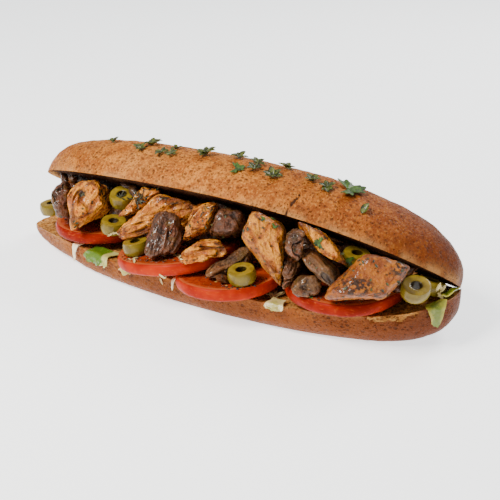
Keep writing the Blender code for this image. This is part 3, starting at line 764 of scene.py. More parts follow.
def olive_profile():
    """Radius, height, and whether it is skin or hole, once round the cut of a ring."""
    half = OLIVE_THICK / 2
    outside = [
        (OLIVE_RADIUS * (0.90 + 0.10 * math.cos(math.pi / 2 * level) ** 0.8), half * level, 1, 0)
        for level in np.linspace(-0.97, 0.97, 13)
    ]
    outer, inner = OLIVE_RADIUS * 0.87, OLIVE_HOLE + 0.4
    top = [(radius, half, 0, 0) for radius in np.linspace(outer, inner, 6)]
    hole = [
        (OLIVE_HOLE + 0.12 * math.cos(3 * level), half * level, 0, 1)
        for level in np.linspace(0.9, -0.9, 7)
    ]
    bottom = [(radius, -half, 0, 0) for radius in np.linspace(inner, outer, 6)]
    return outside + top + hole + bottom


def make_olive(name, centre, tilt_x, tilt_y, finish):
    draw = random.Random(name)
    lean = Matrix.Rotation(math.radians(tilt_x), 3, "X") @ Matrix.Rotation(math.radians(tilt_y), 3, "Y")
    steps = 72
    angle = 2 * np.pi * np.arange(steps) / steps
    swell = 1 + 0.025 * np.sin(2 * angle + draw.uniform(0, 6)) + 0.012 * np.sin(3 * angle)
    rings, skin, hole = [], [], []
    for radius, height, is_skin, is_hole in olive_profile():
        reach = radius * swell
        ring = np.stack([reach * np.cos(angle), reach * np.sin(angle), np.full(steps, height)], axis=-1)
        rings.append(np.array(centre) + ring @ np.array(lean).T)
        skin.append(np.full(steps, is_skin))
        hole.append(np.full(steps, is_hole))
    grid = np.array(rings)
    flat = grid.reshape(-1, 3)
    uneven = (0.12 * lumps(flat, 3, 31) + 0.04 * lumps(flat, 1, 32))[:, None]
    flat = flat + uneven * (flat - np.array(centre)) / OLIVE_RADIUS
    count = len(grid)
    faces = [
        (ring * steps + step, ring * steps + (step + 1) % steps,
         (ring + 1) % count * steps + (step + 1) % steps, (ring + 1) % count * steps + step)
        for ring in range(count) for step in range(steps)
    ]
    marks = {"skin": np.concatenate(skin), "hole": np.concatenate(hole)}
    return make_piece(name + "_ring", flat, faces, [finish], [name], marks=marks, sharp=45)


olive = olive_flesh()
olives = {spec[0]: make_olive(*spec, olive) for spec in OLIVES}

# %% [markdown]
# ## Meat
#
# The chunks are torn along their grain, so their faces are ridged and cracked lengthwise. Each
# starts from its plain solid: merged, turned into four-sided faces and subdivided, with its
# points pushed out first so that smoothing doesn't shrink it. Then the ridges are pressed in
# along its longest direction, and the same numbers colour the cracks with painted shade, and
# the char, which leans towards the tops as painted shade.


# %% Smooth copies of the plain chunks
FLAT_ENOUGH, SQUARE_ENOUGH, SHARP_EDGE = math.radians(50), math.radians(70), math.radians(36)


def smooth_chunk(node, levels, firm):
    """Points in millimetres and faces of a plain solid, subdivided without shrinking."""
    bm = bmesh.new()
    bm.from_mesh(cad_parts[node].data)
    bmesh.ops.remove_doubles(bm, verts=bm.verts, dist=1e-6)
    bmesh.ops.join_triangles(
        bm, faces=bm.faces, angle_face_threshold=FLAT_ENOUGH, angle_shape_threshold=SQUARE_ENOUGH
    )
    crease = bm.edges.layers.float.new("crease_edge")
    for edge in bm.edges:
        edge[crease] = firm * (edge.calc_face_angle(0) > SHARP_EDGE)
    mesh = bpy.data.meshes.new("cage")
    bm.to_mesh(mesh)
    bm.free()
    cage = bpy.data.objects.new("cage", mesh)
    bpy.context.scene.collection.objects.link(cage)
    rounding = cage.modifiers.new("rounding", "SUBSURF")
    count = len(mesh.vertices)
    wanted = points_of(mesh)
    cage_points = wanted.copy()
    for level in (2, 2, 2, levels):
        rounding.levels = rounding.render_levels = level
        mesh.vertices.foreach_set("co", cage_points.astype(np.float32).reshape(-1))
        mesh.update()
        graph = bpy.context.evaluated_depsgraph_get()
        graph.update()
        rounded = bpy.data.meshes.new_from_object(cage.evaluated_get(graph))
        cage_points = cage_points + 0.85 * (wanted - points_of(rounded)[:count])
    bpy.data.objects.remove(cage)
    return points_of(rounded) / MM, [tuple(face.vertices) for face in rounded.polygons]


def points_of(mesh):
    """A mesh's points in metres."""
    points = np.empty(len(mesh.vertices) * 3, np.float32)
    mesh.vertices.foreach_get("co", points)
    return points.reshape(-1, 3).astype(float)


def grain_frame(points):
    """The middle of a chunk, and its long, cross and thin directions as rows."""
    middle = points.mean(axis=0)
    _, _, directions = np.linalg.svd(points - middle, full_matrices=False)
    return middle, directions


def vertex_normals(points, faces):
    mesh = bpy.data.meshes.new("normals")
    mesh.from_pydata(points.tolist(), [], faces)
    normals = np.empty(len(points) * 3, np.float32)
    mesh.vertex_normals.foreach_get("vector", normals)
    bpy.data.meshes.remove(mesh)
    return normals.reshape(-1, 3).astype(float)


def edge_marks(points, faces, normals):
    """1 along a chunk's outward edges, and 0 on its faces and in its hollows."""
    faces = np.array(faces)
    first, second = np.concatenate([faces[:, [i, (i + 1) % 4]] for i in range(4)]).T
    share = np.bincount(first, minlength=len(points))[:, None]
    smooth = points
    for _ in range(30):
        sums = [np.bincount(first, smooth[second, k], len(points)) for k in range(3)]
        smooth = np.stack(sums, axis=1) / share
    bulge = ((points - smooth) * normals).sum(axis=1)
    return soft_step(bulge, *np.percentile(bulge, (66, 93)))


# %% Ridges, cracks and char
def press_grain(points, faces, ridge, crack, knob, twist, seed, char_and_shade):
    """Moves points in and out along the grain. Returns them with marks for the shader."""
    middle, (long, cross, thin) = grain_frame(points)
    turned = np.cos(twist) * long + np.sin(twist) * cross
    over = np.cross(thin, turned)
    local = points - middle
    local = local + 1.2 * np.stack([lumps(points, 9, seed + k) for k in range(3)], axis=1)
    along, across, depth = local @ turned, local @ over, local @ thin
    grain = np.stack([along / 9, across, depth], axis=1)
    fibre = 0.7 * lumps(grain, 1.9, seed + 4) + 0.5 * lumps(grain * np.array((2, 1, 1)), 1.0, seed + 5)
    split = np.abs(lumps(np.stack([along / 4.5, across, depth], axis=1), 4.2, seed + 6))
    crack_mask = (1 - soft_step(split, 0.03, 0.16)) * soft_step(lumps(points, 8, seed + 7), -0.3, 0.3)
    crack_mask = crack_mask * min(1, 2.5 * crack)
    knobs = lumps(points, 6.5, seed + 8)
    fine = lumps(points, 1.3, seed + 9)
    moved = 1.6 * ridge * fibre + knob * knobs + 0.16 * fine - 1.3 * crack * crack_mask
    normals = vertex_normals(points, faces)
    facing = normals @ np.array(TOWARDS_EYE)
    # Painted shade: the char mask leans towards each chunk's top, so the tops darken where the crown's shadow
    # falls.
    top = local[:, 2] / np.abs(local[:, 2]).max()
    char_and_top_shade = lumps(points, 7, seed + 10) + 0.35 * fibre + 0.4 * top
    high = soft_step(char_and_top_shade, 1 - 2 * char_and_shade, 1.25 - 1.6 * char_and_shade)
    marks = {
        "crack": crack_mask,
        "fibre": 0.5 + 0.5 * fibre,
        "char_and_shade": high * soft_step(facing, -0.6, 0.2),
        "edge": edge_marks(points, faces, normals),
    }
    return points + normals * (moved - 0.25 * (ridge + knob))[:, None], marks


# %% Meat finishes
def brighter(colour, times):
    return tuple(min(0.9, times * value) for value in colour)


def pale_meat(name, light, deep, browning):
    finish = Finish(name, Specular_IOR_Level=0.26, Coat_Weight=0.22, Coat_Roughness=0.08)
    crack, fibre, char_and_shade, edge = (finish.mark(key) for key in ("crack", "fibre", "char_and_shade", "edge"))
    crisp = finish.cloud(1.2, 4.0)
    brown = finish.cloud(3.0, 4.0).step(0.58 - browning, 0.70 - browning) * 0.75
    seared = edge * finish.cloud(5, 3.0).step(0.40, 0.54)
    # Burnt patches: char, and painted shade towards each chunk's top.
    burnt_and_shaded = char_and_shade * finish.cloud(2.0, 4.0).step(0.42, 0.54)
    speck = (1 - finish.spots(2.0, (1.5, 1, 1))).step(0.68, 0.8) * finish.cloud(6, 1.0).step(0.44, 0.58)
    colour = finish.over(
        light,
        (deep, finish.cloud(6, 3.0).step(0.42, 0.58)),
        (brighter(light, 1.3), fibre.step(0.5, 0.75) * 0.6),
        ((0.26, 0.060, 0.004), (1 - fibre).step(0.5, 0.8) * 0.75),
        ((0.30, 0.072, 0.006), crisp.step(0.53, 0.63) * 0.5),
        (brighter(light, 1.45), (1 - crisp).step(0.57, 0.67) * 0.6),
        # Painted shade in the cracks.
        ((0.10, 0.020, 0.003), crack * 0.9),
        ((0.20, 0.045, 0.004), brown),
        ((0.10, 0.022, 0.003), seared * 0.8),
        ((0.016, 0.007, 0.003), burnt_and_shaded * 0.92),
        ((0.15, 0.030, 0.002), finish.cloud(6).step(0.54, 0.66) * 0.65),
        ((0.026, 0.020, 0.004), speck * 0.75),
    )
    height = finish.cloud(0.9, 4.0) + fibre * 0.6 + crisp * 0.8 - speck * 0.5 - crack
    return finish.done(colour, 0.26 + finish.cloud(2) * 0.3, height, 0.8)


def dark_meat(name, light, deep, blush, roughness):
    finish = Finish(name, Specular_IOR_Level=0.26, Coat_Weight=0.34, Coat_Roughness=0.07)
    crack, fibre, char_and_shade, edge = (finish.mark(key) for key in ("crack", "fibre", "char_and_shade", "edge"))
    colour = finish.over(
        light,
        (deep, finish.cloud(3.5, 4.0).step(0.42, 0.58)),
        (blush, finish.cloud(8).step(0.52, 0.64) * 0.8),
        ((0.13, 0.066, 0.010), finish.cloud(5, 3.0).step(0.54, 0.66) * 0.6),
        (brighter(light, 2.2), fibre.step(0.52, 0.8) * 0.5),
        (brighter(light, 1.7), edge * 0.35),
        # Painted shade in the cracks.
        ((0.010, 0.004, 0.002), crack * 0.9),
        # Char, and painted shade towards each chunk's top.
        ((0.010, 0.005, 0.003), char_and_shade * 0.6),
        (brighter(light, 3.2), finish.cloud(1.3, 4.0).step(0.58, 0.68) * 0.6),
    )
    height = finish.cloud(0.9, 4.0) + fibre * 0.6 - crack
    return finish.done(colour, roughness * 0.55 + finish.cloud(1.5) * 0.4, height, 0.95)


golden = pale_meat("grilled pale meat", (0.74, 0.265, 0.022), (0.60, 0.138, 0.005), 0.0)
firm_gold = pale_meat("grilled pale meat, firm", (0.55, 0.205, 0.013), (0.44, 0.108, 0.003), 0.02)
browned = pale_meat("browned pale meat", (0.34, 0.100, 0.003), (0.20, 0.040, 0.001), 0.02)
purple, brown, grey, shaded_shred = (
    dark_meat(*look) for look in (
        ("braised meat, purple", (0.080, 0.027, 0.010), (0.028, 0.009, 0.003), (0.13, 0.030, 0.010), 0.32),
        ("braised meat, brown", (0.100, 0.036, 0.012), (0.036, 0.011, 0.003), (0.20, 0.045, 0.008), 0.28),
        ("braised meat, grey", (0.108, 0.045, 0.013), (0.045, 0.017, 0.005), (0.15, 0.040, 0.009), 0.36),
        # Shredded meat, darker than the braised chunks as painted shade in the gaps where it lies.
        ("shredded meat, painted shade", (0.050, 0.018, 0.007), (0.016, 0.005, 0.002), (0.10, 0.024, 0.005), 0.30),
    )
)

# %% The chunks of meat
# Chunk: finish, ridge, crack and knob in millimetres, turn of the grain, and share of char and painted shade
CHUNKS = {
    "meat_pale_1": (golden, 0.35, 0.5, 0.55, 1.1, 0.16),
    "meat_pale_2": (golden, 0.30, 0.4, 0.45, 0.2, 0.30),
    "meat_pale_3": (golden, 0.55, 0.9, 0.35, 0.0, 0.22),
    "meat_pale_4": (golden, 0.30, 0.5, 0.45, 0.1, 0.35),
    "meat_pale_5": (golden, 0.45, 0.8, 0.45, 0.6, 0.20),
    "meat_pale_6": (firm_gold, 0.18, 0.2, 0.60, 0.0, 0.18),
    "meat_pale_7": (golden, 0.25, 0.3, 0.40, 0.1, 0.30),
    "meat_pale_8": (browned, 0.22, 0.25, 0.70, 0.1, 0.42),
    "meat_dark_1": (purple, 0.45, 0.5, 0.8, 0.3, 0.2),
    "meat_dark_2": (purple, 0.55, 0.8, 0.9, 0.1, 0.2),
    "meat_dark_3": (purple, 0.30, 0.4, 0.9, 0.2, 0.2),
    "meat_dark_4": (grey, 0.35, 0.5, 0.8, 0.1, 0.2),
    "meat_dark_5": (brown, 0.95, 1.3, 0.7, 0.0, 0.3),
    "meat_dark_6": (brown, 0.40, 0.5, 0.8, 0.4, 0.2),
    "meat_dark_7": (grey, 0.30, 0.3, 0.7, 0.1, 0.2),
    "meat_dark_8": (grey, 0.35, 0.3, 0.7, 0.2, 0.3),
    "meat_dark_9": (brown, 0.40, 0.5, 0.8, 0.0, 0.3),
    "meat_dark_10": (brown, 0.40, 0.5, 0.8, 0.0, 0.3),
    "meat_dark_11": (brown, 0.40, 0.5, 0.8, 0.0, 0.3),
    "meat_dark_12": (brown, 0.60, 0.8, 0.9, 0.2, 0.3),
    "meat_dark_13": (grey, 0.50, 0.7, 0.8, 0.1, 0.3),
}

CHUNKS_BEHIND = tuple(f"meat_dark_{number}" for number in range(9, 14))
FIRM_CHUNKS = tuple(f"meat_pale_{number}" for number in (1, 2, 4, 6, 7))
FINE_CHUNKS = ("meat_dark_2", "meat_dark_5")

chunks = {}
for number, (node, (finish, ridge, crack, knob, twist, char_and_shade)) in enumerate(CHUNKS.items()):
    pale = "pale" in node
    firm = 0.5 if node in FIRM_CHUNKS else 0.25 * pale
    points, faces = smooth_chunk(node, 4 if pale or node in FINE_CHUNKS else 3, firm)
    points, marks = press_grain(points, faces, ridge, crack, knob, twist, 40 + 12 * number, char_and_shade)
    slot = "pale_meat" if pale else "dark_meat"
    chunks[node] = make_piece(node + "_chunk", points, faces, [finish], [node], marks=marks, sharp=80)

# %% [markdown]
# ## Shreds between the chunks
#
# The chunks lie in a loose heap of smaller shreds, darker than the braised chunks as painted
# shade in the gaps. Each is a ball made uneven and stretched, dropped under the crown onto
# whatever lies below it. One that would lie inside another piece, or cover the face of a chunk,
# is left out.


# %% Search trees
def surface_tree(objects):
    """A search tree of the faces of several pieces, in millimetres."""
    points, faces = [], []
    for obj in objects:
        start = len(points)
        points += (points_of(obj.data) / MM).tolist()
        faces += [tuple(start + i for i in face.vertices) for face in obj.data.polygons]
    return BVHTree.FromPolygons(points, faces)


near_pieces = [obj for node, obj in chunks.items() if node not in CHUNKS_BEHIND] + list(olives.values())
near_tree = surface_tree(near_pieces)
all_tree = surface_tree([heel, *slices.values(), *olives.values(), *chunks.values()])


def outside(tree, place, room):
    """Whether a place lies outside all the pieces of a tree, and so far from them."""
    near, normal, _, distance = tree.find_nearest(place)
    return distance > room and (place - near).dot(normal) > 0


# %% Places of the shreds
# How far shreds keep from the crown's front edge and from a slice's rim, how high they lie in
# front of the crown, and how far in front of a chunk's face they count as covering it
FRONT_MARGIN, SLICE_MARGIN, TOP_IN_FRONT, FACE_GUARD = 4, 11, 32, 12
MOST_TRIES = 9000


def shred_places(count):
    """Middle and radius of each shred of the heap."""
    draw = random.Random(5)
    placed = []
    for _ in range(MOST_TRIES):
        x, y, radius = draw.uniform(-104, 110), draw.uniform(-46, 12), draw.uniform(2.2, 4.0)
        breadth = float(breadth_at(x - CROWN_CENTRE[0], **CROWN))
        in_front = y < CROWN_CENTRE[1] - breadth * math.cos(CROWN_TILT) + FRONT_MARGIN
        on_slice = any(
            math.hypot(x - centre[0], y - centre[1]) < slice_radius - SLICE_MARGIN
            for _, centre, slice_radius, _ in TOMATOES
        )
        if in_front and not on_slice:
            continue
        roof = float(crown_level(x, y)) - 0.95 * radius
        hit, *_ = all_tree.ray_cast(Vector((x, y, roof)), Vector((0, 0, -1)))
        if hit is None:
            continue
        z = hit.z + 0.7 * radius
        for middle, other in placed:
            reach = 0.72 * (radius + other)
            apart = math.hypot(x - middle.x, y - middle.y)
            if apart < reach:
                z = max(z, middle.z + math.sqrt(reach**2 - apart**2))
        place = Vector((x, y, z))
        if z > roof or (in_front and z > TOP_IN_FRONT) or not outside(all_tree, place, 0.4 * radius):
            continue
        seen = all_tree.ray_cast(place, TOWARDS_EYE)[0] is None
        behind, _, _, distance = near_tree.ray_cast(place, -TOWARDS_EYE)
        if seen and behind is not None and distance < FACE_GUARD:
            continue
        if seen or draw.random() < 0.4:
            placed.append((place, radius))
        if len(placed) == count:
            break
    print("shreds:", len(placed))
    return placed


# %% Making the shreds
# The most that a piece is turned by, in radians: all the way round
ANY_WAY = 6.3


def ball_shape(subdivisions, radius):
    """Points and triangles of a ball."""
    bm = bmesh.new()
    bmesh.ops.create_icosphere(bm, subdivisions=subdivisions, radius=radius)
    points = np.array([tuple(vertex.co) for vertex in bm.verts])
    triangles = np.array([[vertex.index for vertex in face.verts] for face in bm.faces])
    bm.free()
    return points, triangles


def make_shreds(count):
    ball, triangles = ball_shape(3, 1)
    draw = random.Random(8)
    points, faces, finish_of, fibres = [], [], [], []
    for number, (middle, radius) in enumerate(shred_places(count)):
        own = 9 * number
        uneven = 0.36 * lumps(ball + own, 0.8, 81) + 0.24 * lumps(ball * (1, 2, 2) + own, 0.45, 82)
        shape = ball * (1 + uneven + 0.08 * lumps(ball + own, 0.2, 84))[:, None]
        shape = shape * (draw.uniform(1.4, 2.2), draw.uniform(0.75, 0.95), draw.uniform(0.6, 0.85))
        heading = Matrix.Rotation(draw.uniform(0, ANY_WAY), 3, "Z")
        turn = heading @ Matrix.Rotation(draw.uniform(-0.9, 0.9), 3, "Y")
        faces += (triangles + len(points) * len(ball)).tolist()
        points.append(np.array(middle) + radius * shape @ np.array(turn).T)
        fibres.append(0.5 + 0.5 * lumps(ball * (1, 4, 4) + own, 1.0, 83))
        finish_of += [draw.choice((0, 0, 0, 0, 1))] * len(triangles)
    return make_piece(
        "meat_shreds", np.concatenate(points), faces, (shaded_shred, brown),
        finish_of=finish_of, marks={"fibre": np.concatenate(fibres)},
    )


shreds = make_shreds(150)

# %% [markdown]
# ## Lettuce
#
# Leaves hang out over the heel's rim. Each is a rippled grid, refined with smooth curves between
# its first few rows, and then given a thin body. The rib side is pale and the blade green, and a
# number along the leaf says which is which.


# %% Lettuce finishes
def leaf_finish(name, pale, green, vein):
    finish = Finish(name, Roughness=0.38, Coat_Weight=0.15)
    blade = finish.mark("blade")
    shade = finish.cloud(3.5, 3.0).step(0.35, 0.65)
    colour = finish.mix(pale, green, (blade + shade * 0.3).step(0.25, 0.75))
    lines = finish.cloud(1.6, 2.0, (0.5, 1, 3)).step(0.55, 0.7)
    colour = finish.mix(colour, vein, lines * 0.35)
    return finish.done(colour, height=finish.cloud(1.2, 3.0), depth=0.3)


green_leaf = leaf_finish("lettuce, green", (0.50, 0.46, 0.14), (0.075, 0.150, 0.003), (0.34, 0.38, 0.06))
bright_leaf = leaf_finish("lettuce, bright", (0.36, 0.31, 0.03), (0.12, 0.155, 0.003), (0.50, 0.45, 0.09))
pale_leaf = leaf_finish("lettuce, pale", (0.62, 0.48, 0.20), (0.38, 0.33, 0.07), (0.66, 0.55, 0.26))
stalk = leaf_finish("lettuce, stalk", (0.95, 0.82, 0.56), (0.85, 0.70, 0.42), (0.98, 0.90, 0.70))

# %% Sizes of the leaves
# Leaf: place along the rim, width, reach into the roll, hang, ripple, and finish
LETTUCE = (
    ("lettuce_1", -77.0, 4.5, 6.0, 8.5, 0.2, stalk),
    ("lettuce_2", -58.0, 25.5, 7.0, 4.2, 1.5, green_leaf),
    ("lettuce_3", -35.0, 14.5, 3.5, 3.4, 0.8, pale_leaf),
    ("lettuce_4", 55.5, 12.0, 5.0, 1.2, 0.7, pale_leaf),
    ("lettuce_5", 128.9, 7.0, 2.2, 10.5, 0.9, bright_leaf),
    ("lettuce_6", -3.5, 1.8, 2.5, 4.5, 0.3, stalk),
)


# %% Curves through rows, and a thin body
def refine(values, times):
    """Smooth curves through rows of points, with so many steps from one row to the next."""
    ahead = np.concatenate([values[1:], 2 * values[-1:] - values[-2:-1]])
    behind = np.concatenate([2 * values[:1] - values[1:2], values[:-1]])
    slope = (ahead - behind) / 2
    out = []
    for row in range(len(values) - 1):
        for t in np.arange(times) / times:
            out.append(
                (2 * t**3 - 3 * t**2 + 1) * values[row] + (t**3 - 2 * t**2 + t) * slope[row]
                + (3 * t**2 - 2 * t**3) * values[row + 1] + (t**3 - t**2) * slope[row + 1]
            )
    return np.array(out + [values[-1]])


def thin_body(grid, thick):
    """Points and faces of a thin closed solid about a grid of points."""
    rows, columns = grid.shape[:2]
    down, along = np.gradient(grid, axis=0), np.gradient(grid, axis=1)
    normal = np.cross(down, along)
    normal /= np.maximum(np.linalg.norm(normal, axis=2, keepdims=True), 1e-9)
    points = np.concatenate([(grid + normal * side * thick / 2).reshape(-1, 3) for side in (1, -1)])
    count = rows * columns
    faces = []
    for row, column in itertools.product(range(rows - 1), range(columns - 1)):
        a = row * columns + column
        faces.append((a, a + 1, a + columns + 1, a + columns))
        faces.append((a + count, a + columns + count, a + columns + 1 + count, a + 1 + count))
    edge = list(range(columns)) + [i * columns + columns - 1 for i in range(1, rows)]
    edge += [(rows - 1) * columns + j for j in range(columns - 2, -1, -1)]
    edge += [i * columns for i in range(rows - 2, 0, -1)]
    faces += [(a, b, b + count, a + count) for a, b in zip(edge, edge[1:] + edge[:1])]
    return points, faces


# %% Leaves that hang over the rim
# Fine steps from one row or column of a leaf to the next
RIM_STEPS = 8


def heel_rim_point(x):
    """A point of the heel's front rim, and the level direction out of the roll there."""
    breadth = float(breadth_at(x, **HEEL))
    power = HEEL["fullness"][int(x > 0)] - 1
    out = np.array((
        math.copysign(abs(x / HEEL["half_length"]) ** power, x) / HEEL["half_length"],
        -((breadth / HEEL["half_breadth"]) ** power) / HEEL["half_breadth"],
        0,
    ))
    return np.array((x, -breadth, float(heel_rim(x)))), out / np.linalg.norm(out)


def make_lettuce(name, x, width, inside, hang, ripple, finish):
    phase = random.Random(name).uniform(0, 2 * math.pi)
    path = (
        (-inside, 0.85), (-inside * 0.45, 0.85), (0.5, 1.0), (1.8, -0.4),
        (2.2, -0.4 - hang * 0.5), (2.4, -0.4 - hang),
    )
    columns = 6 if width > 10 else 4
    grid = []
    for i, (outward, rise) in enumerate(path):
        free = max(0.0, (i - 2) / (len(path) - 3))
        row = []
        for j in range(columns):
            across = j / (columns - 1) - 0.5
            share = 1 - 0.35 * free * abs(across) * 2
            along = x + across * width * (0.8 + 0.2 * math.sin(i + phase)) * (1 - 0.3 * free)
            rim, out = heel_rim_point(along)
            wave = ripple * math.sin(across * 9 + i * 0.9 + phase)
            up = rise if i < 3 else rise * share + 0.3 * wave
            row.append(rim + out * (outward + free * abs(wave)) + np.array((0, 0, up)))
        grid.append(row)
    fine = refine(np.array(grid), RIM_STEPS)
    fine = refine(fine.transpose(1, 0, 2), RIM_STEPS).transpose(1, 0, 2)
    rows, columns = fine.shape[:2]
    free = np.clip((np.arange(rows) / (rows - 1) - 0.35) / 0.65, 0, 1)[:, None]
    _, out = heel_rim_point(x)
    curl = (0.6 * over_grid(lumps, fine, 2.4, 71) + 0.4 * over_grid(lumps, fine, 5, 72)) * free
    fringe = 1.1 * over_grid(lumps, fine, 1.5, 73) * free**3
    fine = fine + curl[..., None] * out + np.abs(curl)[..., None] * out * 0.5
    fine[..., 2] += fringe
    points, faces = thin_body(fine, 0.55)
    across = np.linspace(-1, 1, columns)[None, :]
    middle = 1 - np.abs(across) ** 1.5 if width < 20 else 1 - soft_step(across, 0.3, 0.6)
    inner = 0.8 if width > 20 else 0.4
    green = 0.1 + 0.9 * middle * (inner + (1 - inner) * free)
    blade = np.broadcast_to(green, (rows, columns)).reshape(-1)
    marks = {"blade": np.concatenate([blade, blade])}
    return make_piece(name + "_leaf", points, faces, [finish], [name], marks=marks, sharp=70)


for spec in LETTUCE:
    make_lettuce(*spec)


# %% The leaf at the right end
def make_end_leaf():
    """The small leaf that lies between the halves at the roll's right end."""
    shares = np.linspace(-0.5, 0.5, 33)
    along, across = np.meshgrid(shares, shares, indexing="ij")
    x = 131.8 + 4.8 * along
    y = -3.2 + 10.5 * across * (1 - 0.5 * np.abs(along)) + 3 * along
    z = heel_rim(x) + 2.6 + 0.5 * np.sin(7 * along + 5 * across)
    grid = np.stack([x, y, z], axis=-1)
    grid[..., 2] += 0.25 * over_grid(lumps, grid, 1.8, 74)
    points, faces = thin_body(grid, 0.5)
    blade = (0.3 + 0.5 * np.cos(4 * across)).reshape(-1)
    marks = {"blade": np.concatenate([blade, blade])}
    return make_piece("lettuce_7_leaf", points, faces, [bright_leaf], ["lettuce_7"], marks=marks)


make_end_leaf()

# %% [markdown]
# ## Herbs on the crust
#
# Sprigs of thyme and two leaves of parsley lie on the crown. A thyme leaf is a tiny folded oval
# that repeats dozens of times, so Geometry Nodes place copies of one leaf on points that carry
# the way it faces, the way it points and its length.

# %% Where the herbs lie
# Place along and across the crown, leaves, leaf length, and the way the sprig points in degrees
SPRIGS = (
    (-76, -22, 3, 4.0, 80), (-52, -28, 4, 4.5, 200), (-49, -23, 5, 5.0, 40), (-52, -16, 4, 4.5, 10),
    (-37, -29, 2, 4.5, 90), (-30, -29, 3, 4.0, 130), (-32, -24, 2, 4.0, 30), (-12, -25, 7, 6.0, 15),
    (6, -21, 4, 5.5, 250), (21, -29, 3, 4.5, 300), (19, -24, 3, 5.0, 60), (33, -30, 4, 5.5, 190),
    (34, -20, 4, 5.0, 330), (52, -25, 4, 5.0, 215), (61, -26, 5, 5.0, 100), (83, -28, 1, 5.5, 70),
)
# Place along and across the crown, length, and the way the leaf points in degrees
PARSLEY = ((12, -31, 4.6, 20), (70, -21.5, 8.5, 35))


def crown_spot(x, across):
    x, across = np.float64(x), np.float64(across)
    return Vector(crown_to_roll(x, across, dome_height(x, across)))


def on_crown(x, across):
    """A point of the crust, and the directions along it, inwards over it and out of it."""
    here = crown_spot(x, across)
    along = (crown_spot(x + 1, across) - here).normalized()
    inward = (crown_spot(x, across + 1) - here).normalized()
    return here, along, inward, along.cross(inward).normalized()


def raised(heading, normal, lift):
    """The way up for a leaf that is lifted off a surface, and the way that it then points."""
    ahead = (heading + normal * lift).normalized()
    return (normal - ahead * normal.dot(ahead)).normalized(), ahead


def thyme_places():
    """Point, outward direction, heading and length of every thyme leaf."""
    draw = random.Random(11)
    places = []
    for x, across, count, length, turn in SPRIGS:
        root, along, inward, normal = on_crown(x, across)
        count += 2 * (count > 1)
        for i in range(count):
            angle = math.radians(turn + 360 * i / count + draw.uniform(-18, 18))
            heading = along * math.cos(angle) + inward * math.sin(angle)
            up, ahead = raised(heading, normal, draw.uniform(0.2, 0.8))
            places.append((root + normal * 0.25, up, ahead, length * draw.uniform(0.8, 1.1)))
    return places


# %% A node tree that places copies on points
def copies_tree():
    """Copies of one object on a mesh's points, turned and sized by what the points carry."""
    tree = bpy.data.node_groups.new("copies on points", "GeometryNodeTree")
    for name, kind, way in (
        ("Points", "NodeSocketGeometry", "INPUT"), ("Shape", "NodeSocketObject", "INPUT"),
        ("Finish", "NodeSocketMaterial", "INPUT"), ("Copies", "NodeSocketGeometry", "OUTPUT"),
    ):
        tree.interface.new_socket(name, in_out=way, socket_type=kind)
    entry, leave = tree.nodes.new("NodeGroupInput"), tree.nodes.new("NodeGroupOutput")
    shape = tree.nodes.new("GeometryNodeObjectInfo")
    place = tree.nodes.new("GeometryNodeInstanceOnPoints")
    turn = tree.nodes.new("FunctionNodeAxesToRotation")
    turn.primary_axis, turn.secondary_axis = "Z", "X"
    real = tree.nodes.new("GeometryNodeRealizeInstances")
    finish = tree.nodes.new("GeometryNodeSetMaterial")
    link = tree.links.new
    link(entry.outputs["Points"], place.inputs["Points"])
    link(entry.outputs["Shape"], shape.inputs["Object"])
    link(shape.outputs["Geometry"], place.inputs["Instance"])
    for name, kind, target in (
        ("up", "FLOAT_VECTOR", turn.inputs[0]), ("ahead", "FLOAT_VECTOR", turn.inputs[1]),
        ("size", "FLOAT", place.inputs["Scale"]),
    ):
        carried = tree.nodes.new("GeometryNodeInputNamedAttribute")
        carried.data_type = kind
        carried.inputs["Name"].default_value = name
        link(carried.outputs["Attribute"], target)
    link(turn.outputs["Rotation"], place.inputs["Rotation"])
    link(place.outputs["Instances"], real.inputs["Geometry"])
    link(real.outputs["Geometry"], finish.inputs["Geometry"])
    link(entry.outputs["Finish"], finish.inputs["Material"])
    link(finish.outputs["Geometry"], leave.inputs["Copies"])
    return tree


copies = copies_tree()


# %% Placing copies with the tree
def set_input(modifier, name, value):
    """Sets a node modifier's input, which is stored under its socket's identifier."""
    for item in modifier.node_group.interface.items_tree:
        if item.name == name and item.in_out == "INPUT":
            modifier[item.identifier] = value


def place_copies(name, shape, places, finish):
    """One plain mesh of a shape copied to points, each with its up, ahead and size."""
    mesh = bpy.data.meshes.new(name)
    mesh.from_pydata([tuple(Vector(point) * MM) for point, *_ in places], [], [])
    for column, (key, kind, entry) in enumerate((
        ("up", "FLOAT_VECTOR", "vector"), ("ahead", "FLOAT_VECTOR", "vector"), ("size", "FLOAT", "value"),
    )):
        values = np.array([row[column + 1] for row in places], np.float32)
        mesh.attributes.new(key, kind, "POINT").data.foreach_set(entry, values.reshape(-1))
    holder = bpy.data.objects.new(name, mesh)
    bpy.context.scene.collection.objects.link(holder)
    modifier = holder.modifiers.new("copies", "NODES")
    modifier.node_group = copies
    set_input(modifier, "Shape", shape)
    set_input(modifier, "Finish", finish)
    graph = bpy.context.evaluated_depsgraph_get()
    graph.update()
    made = bpy.data.meshes.new_from_object(holder.evaluated_get(graph))
    holder.modifiers.clear()
    holder.data = made
    made.shade_smooth()
    print(name, len(places), "copies,", len(made.polygons), "faces")
    return dress(holder)


def pattern(name, points, faces):
    """A small shape to copy, in units where 1 is its length. It isn't shown itself."""
    mesh = bpy.data.meshes.new(name)
    mesh.from_pydata((np.asarray(points) * MM).tolist(), [], faces)
    return bpy.data.objects.new(name, mesh)


# %% Herb finishes and thyme
def herb_finish(name, light, dark):
    finish = Finish(name, Roughness=0.5, Coat_Weight=0.1)
    colour = finish.mix(light, dark, finish.cloud(1.8, 2.0).step(0.38, 0.62))
    return finish.done(colour, height=finish.cloud(0.5, 2.0), depth=0.15)


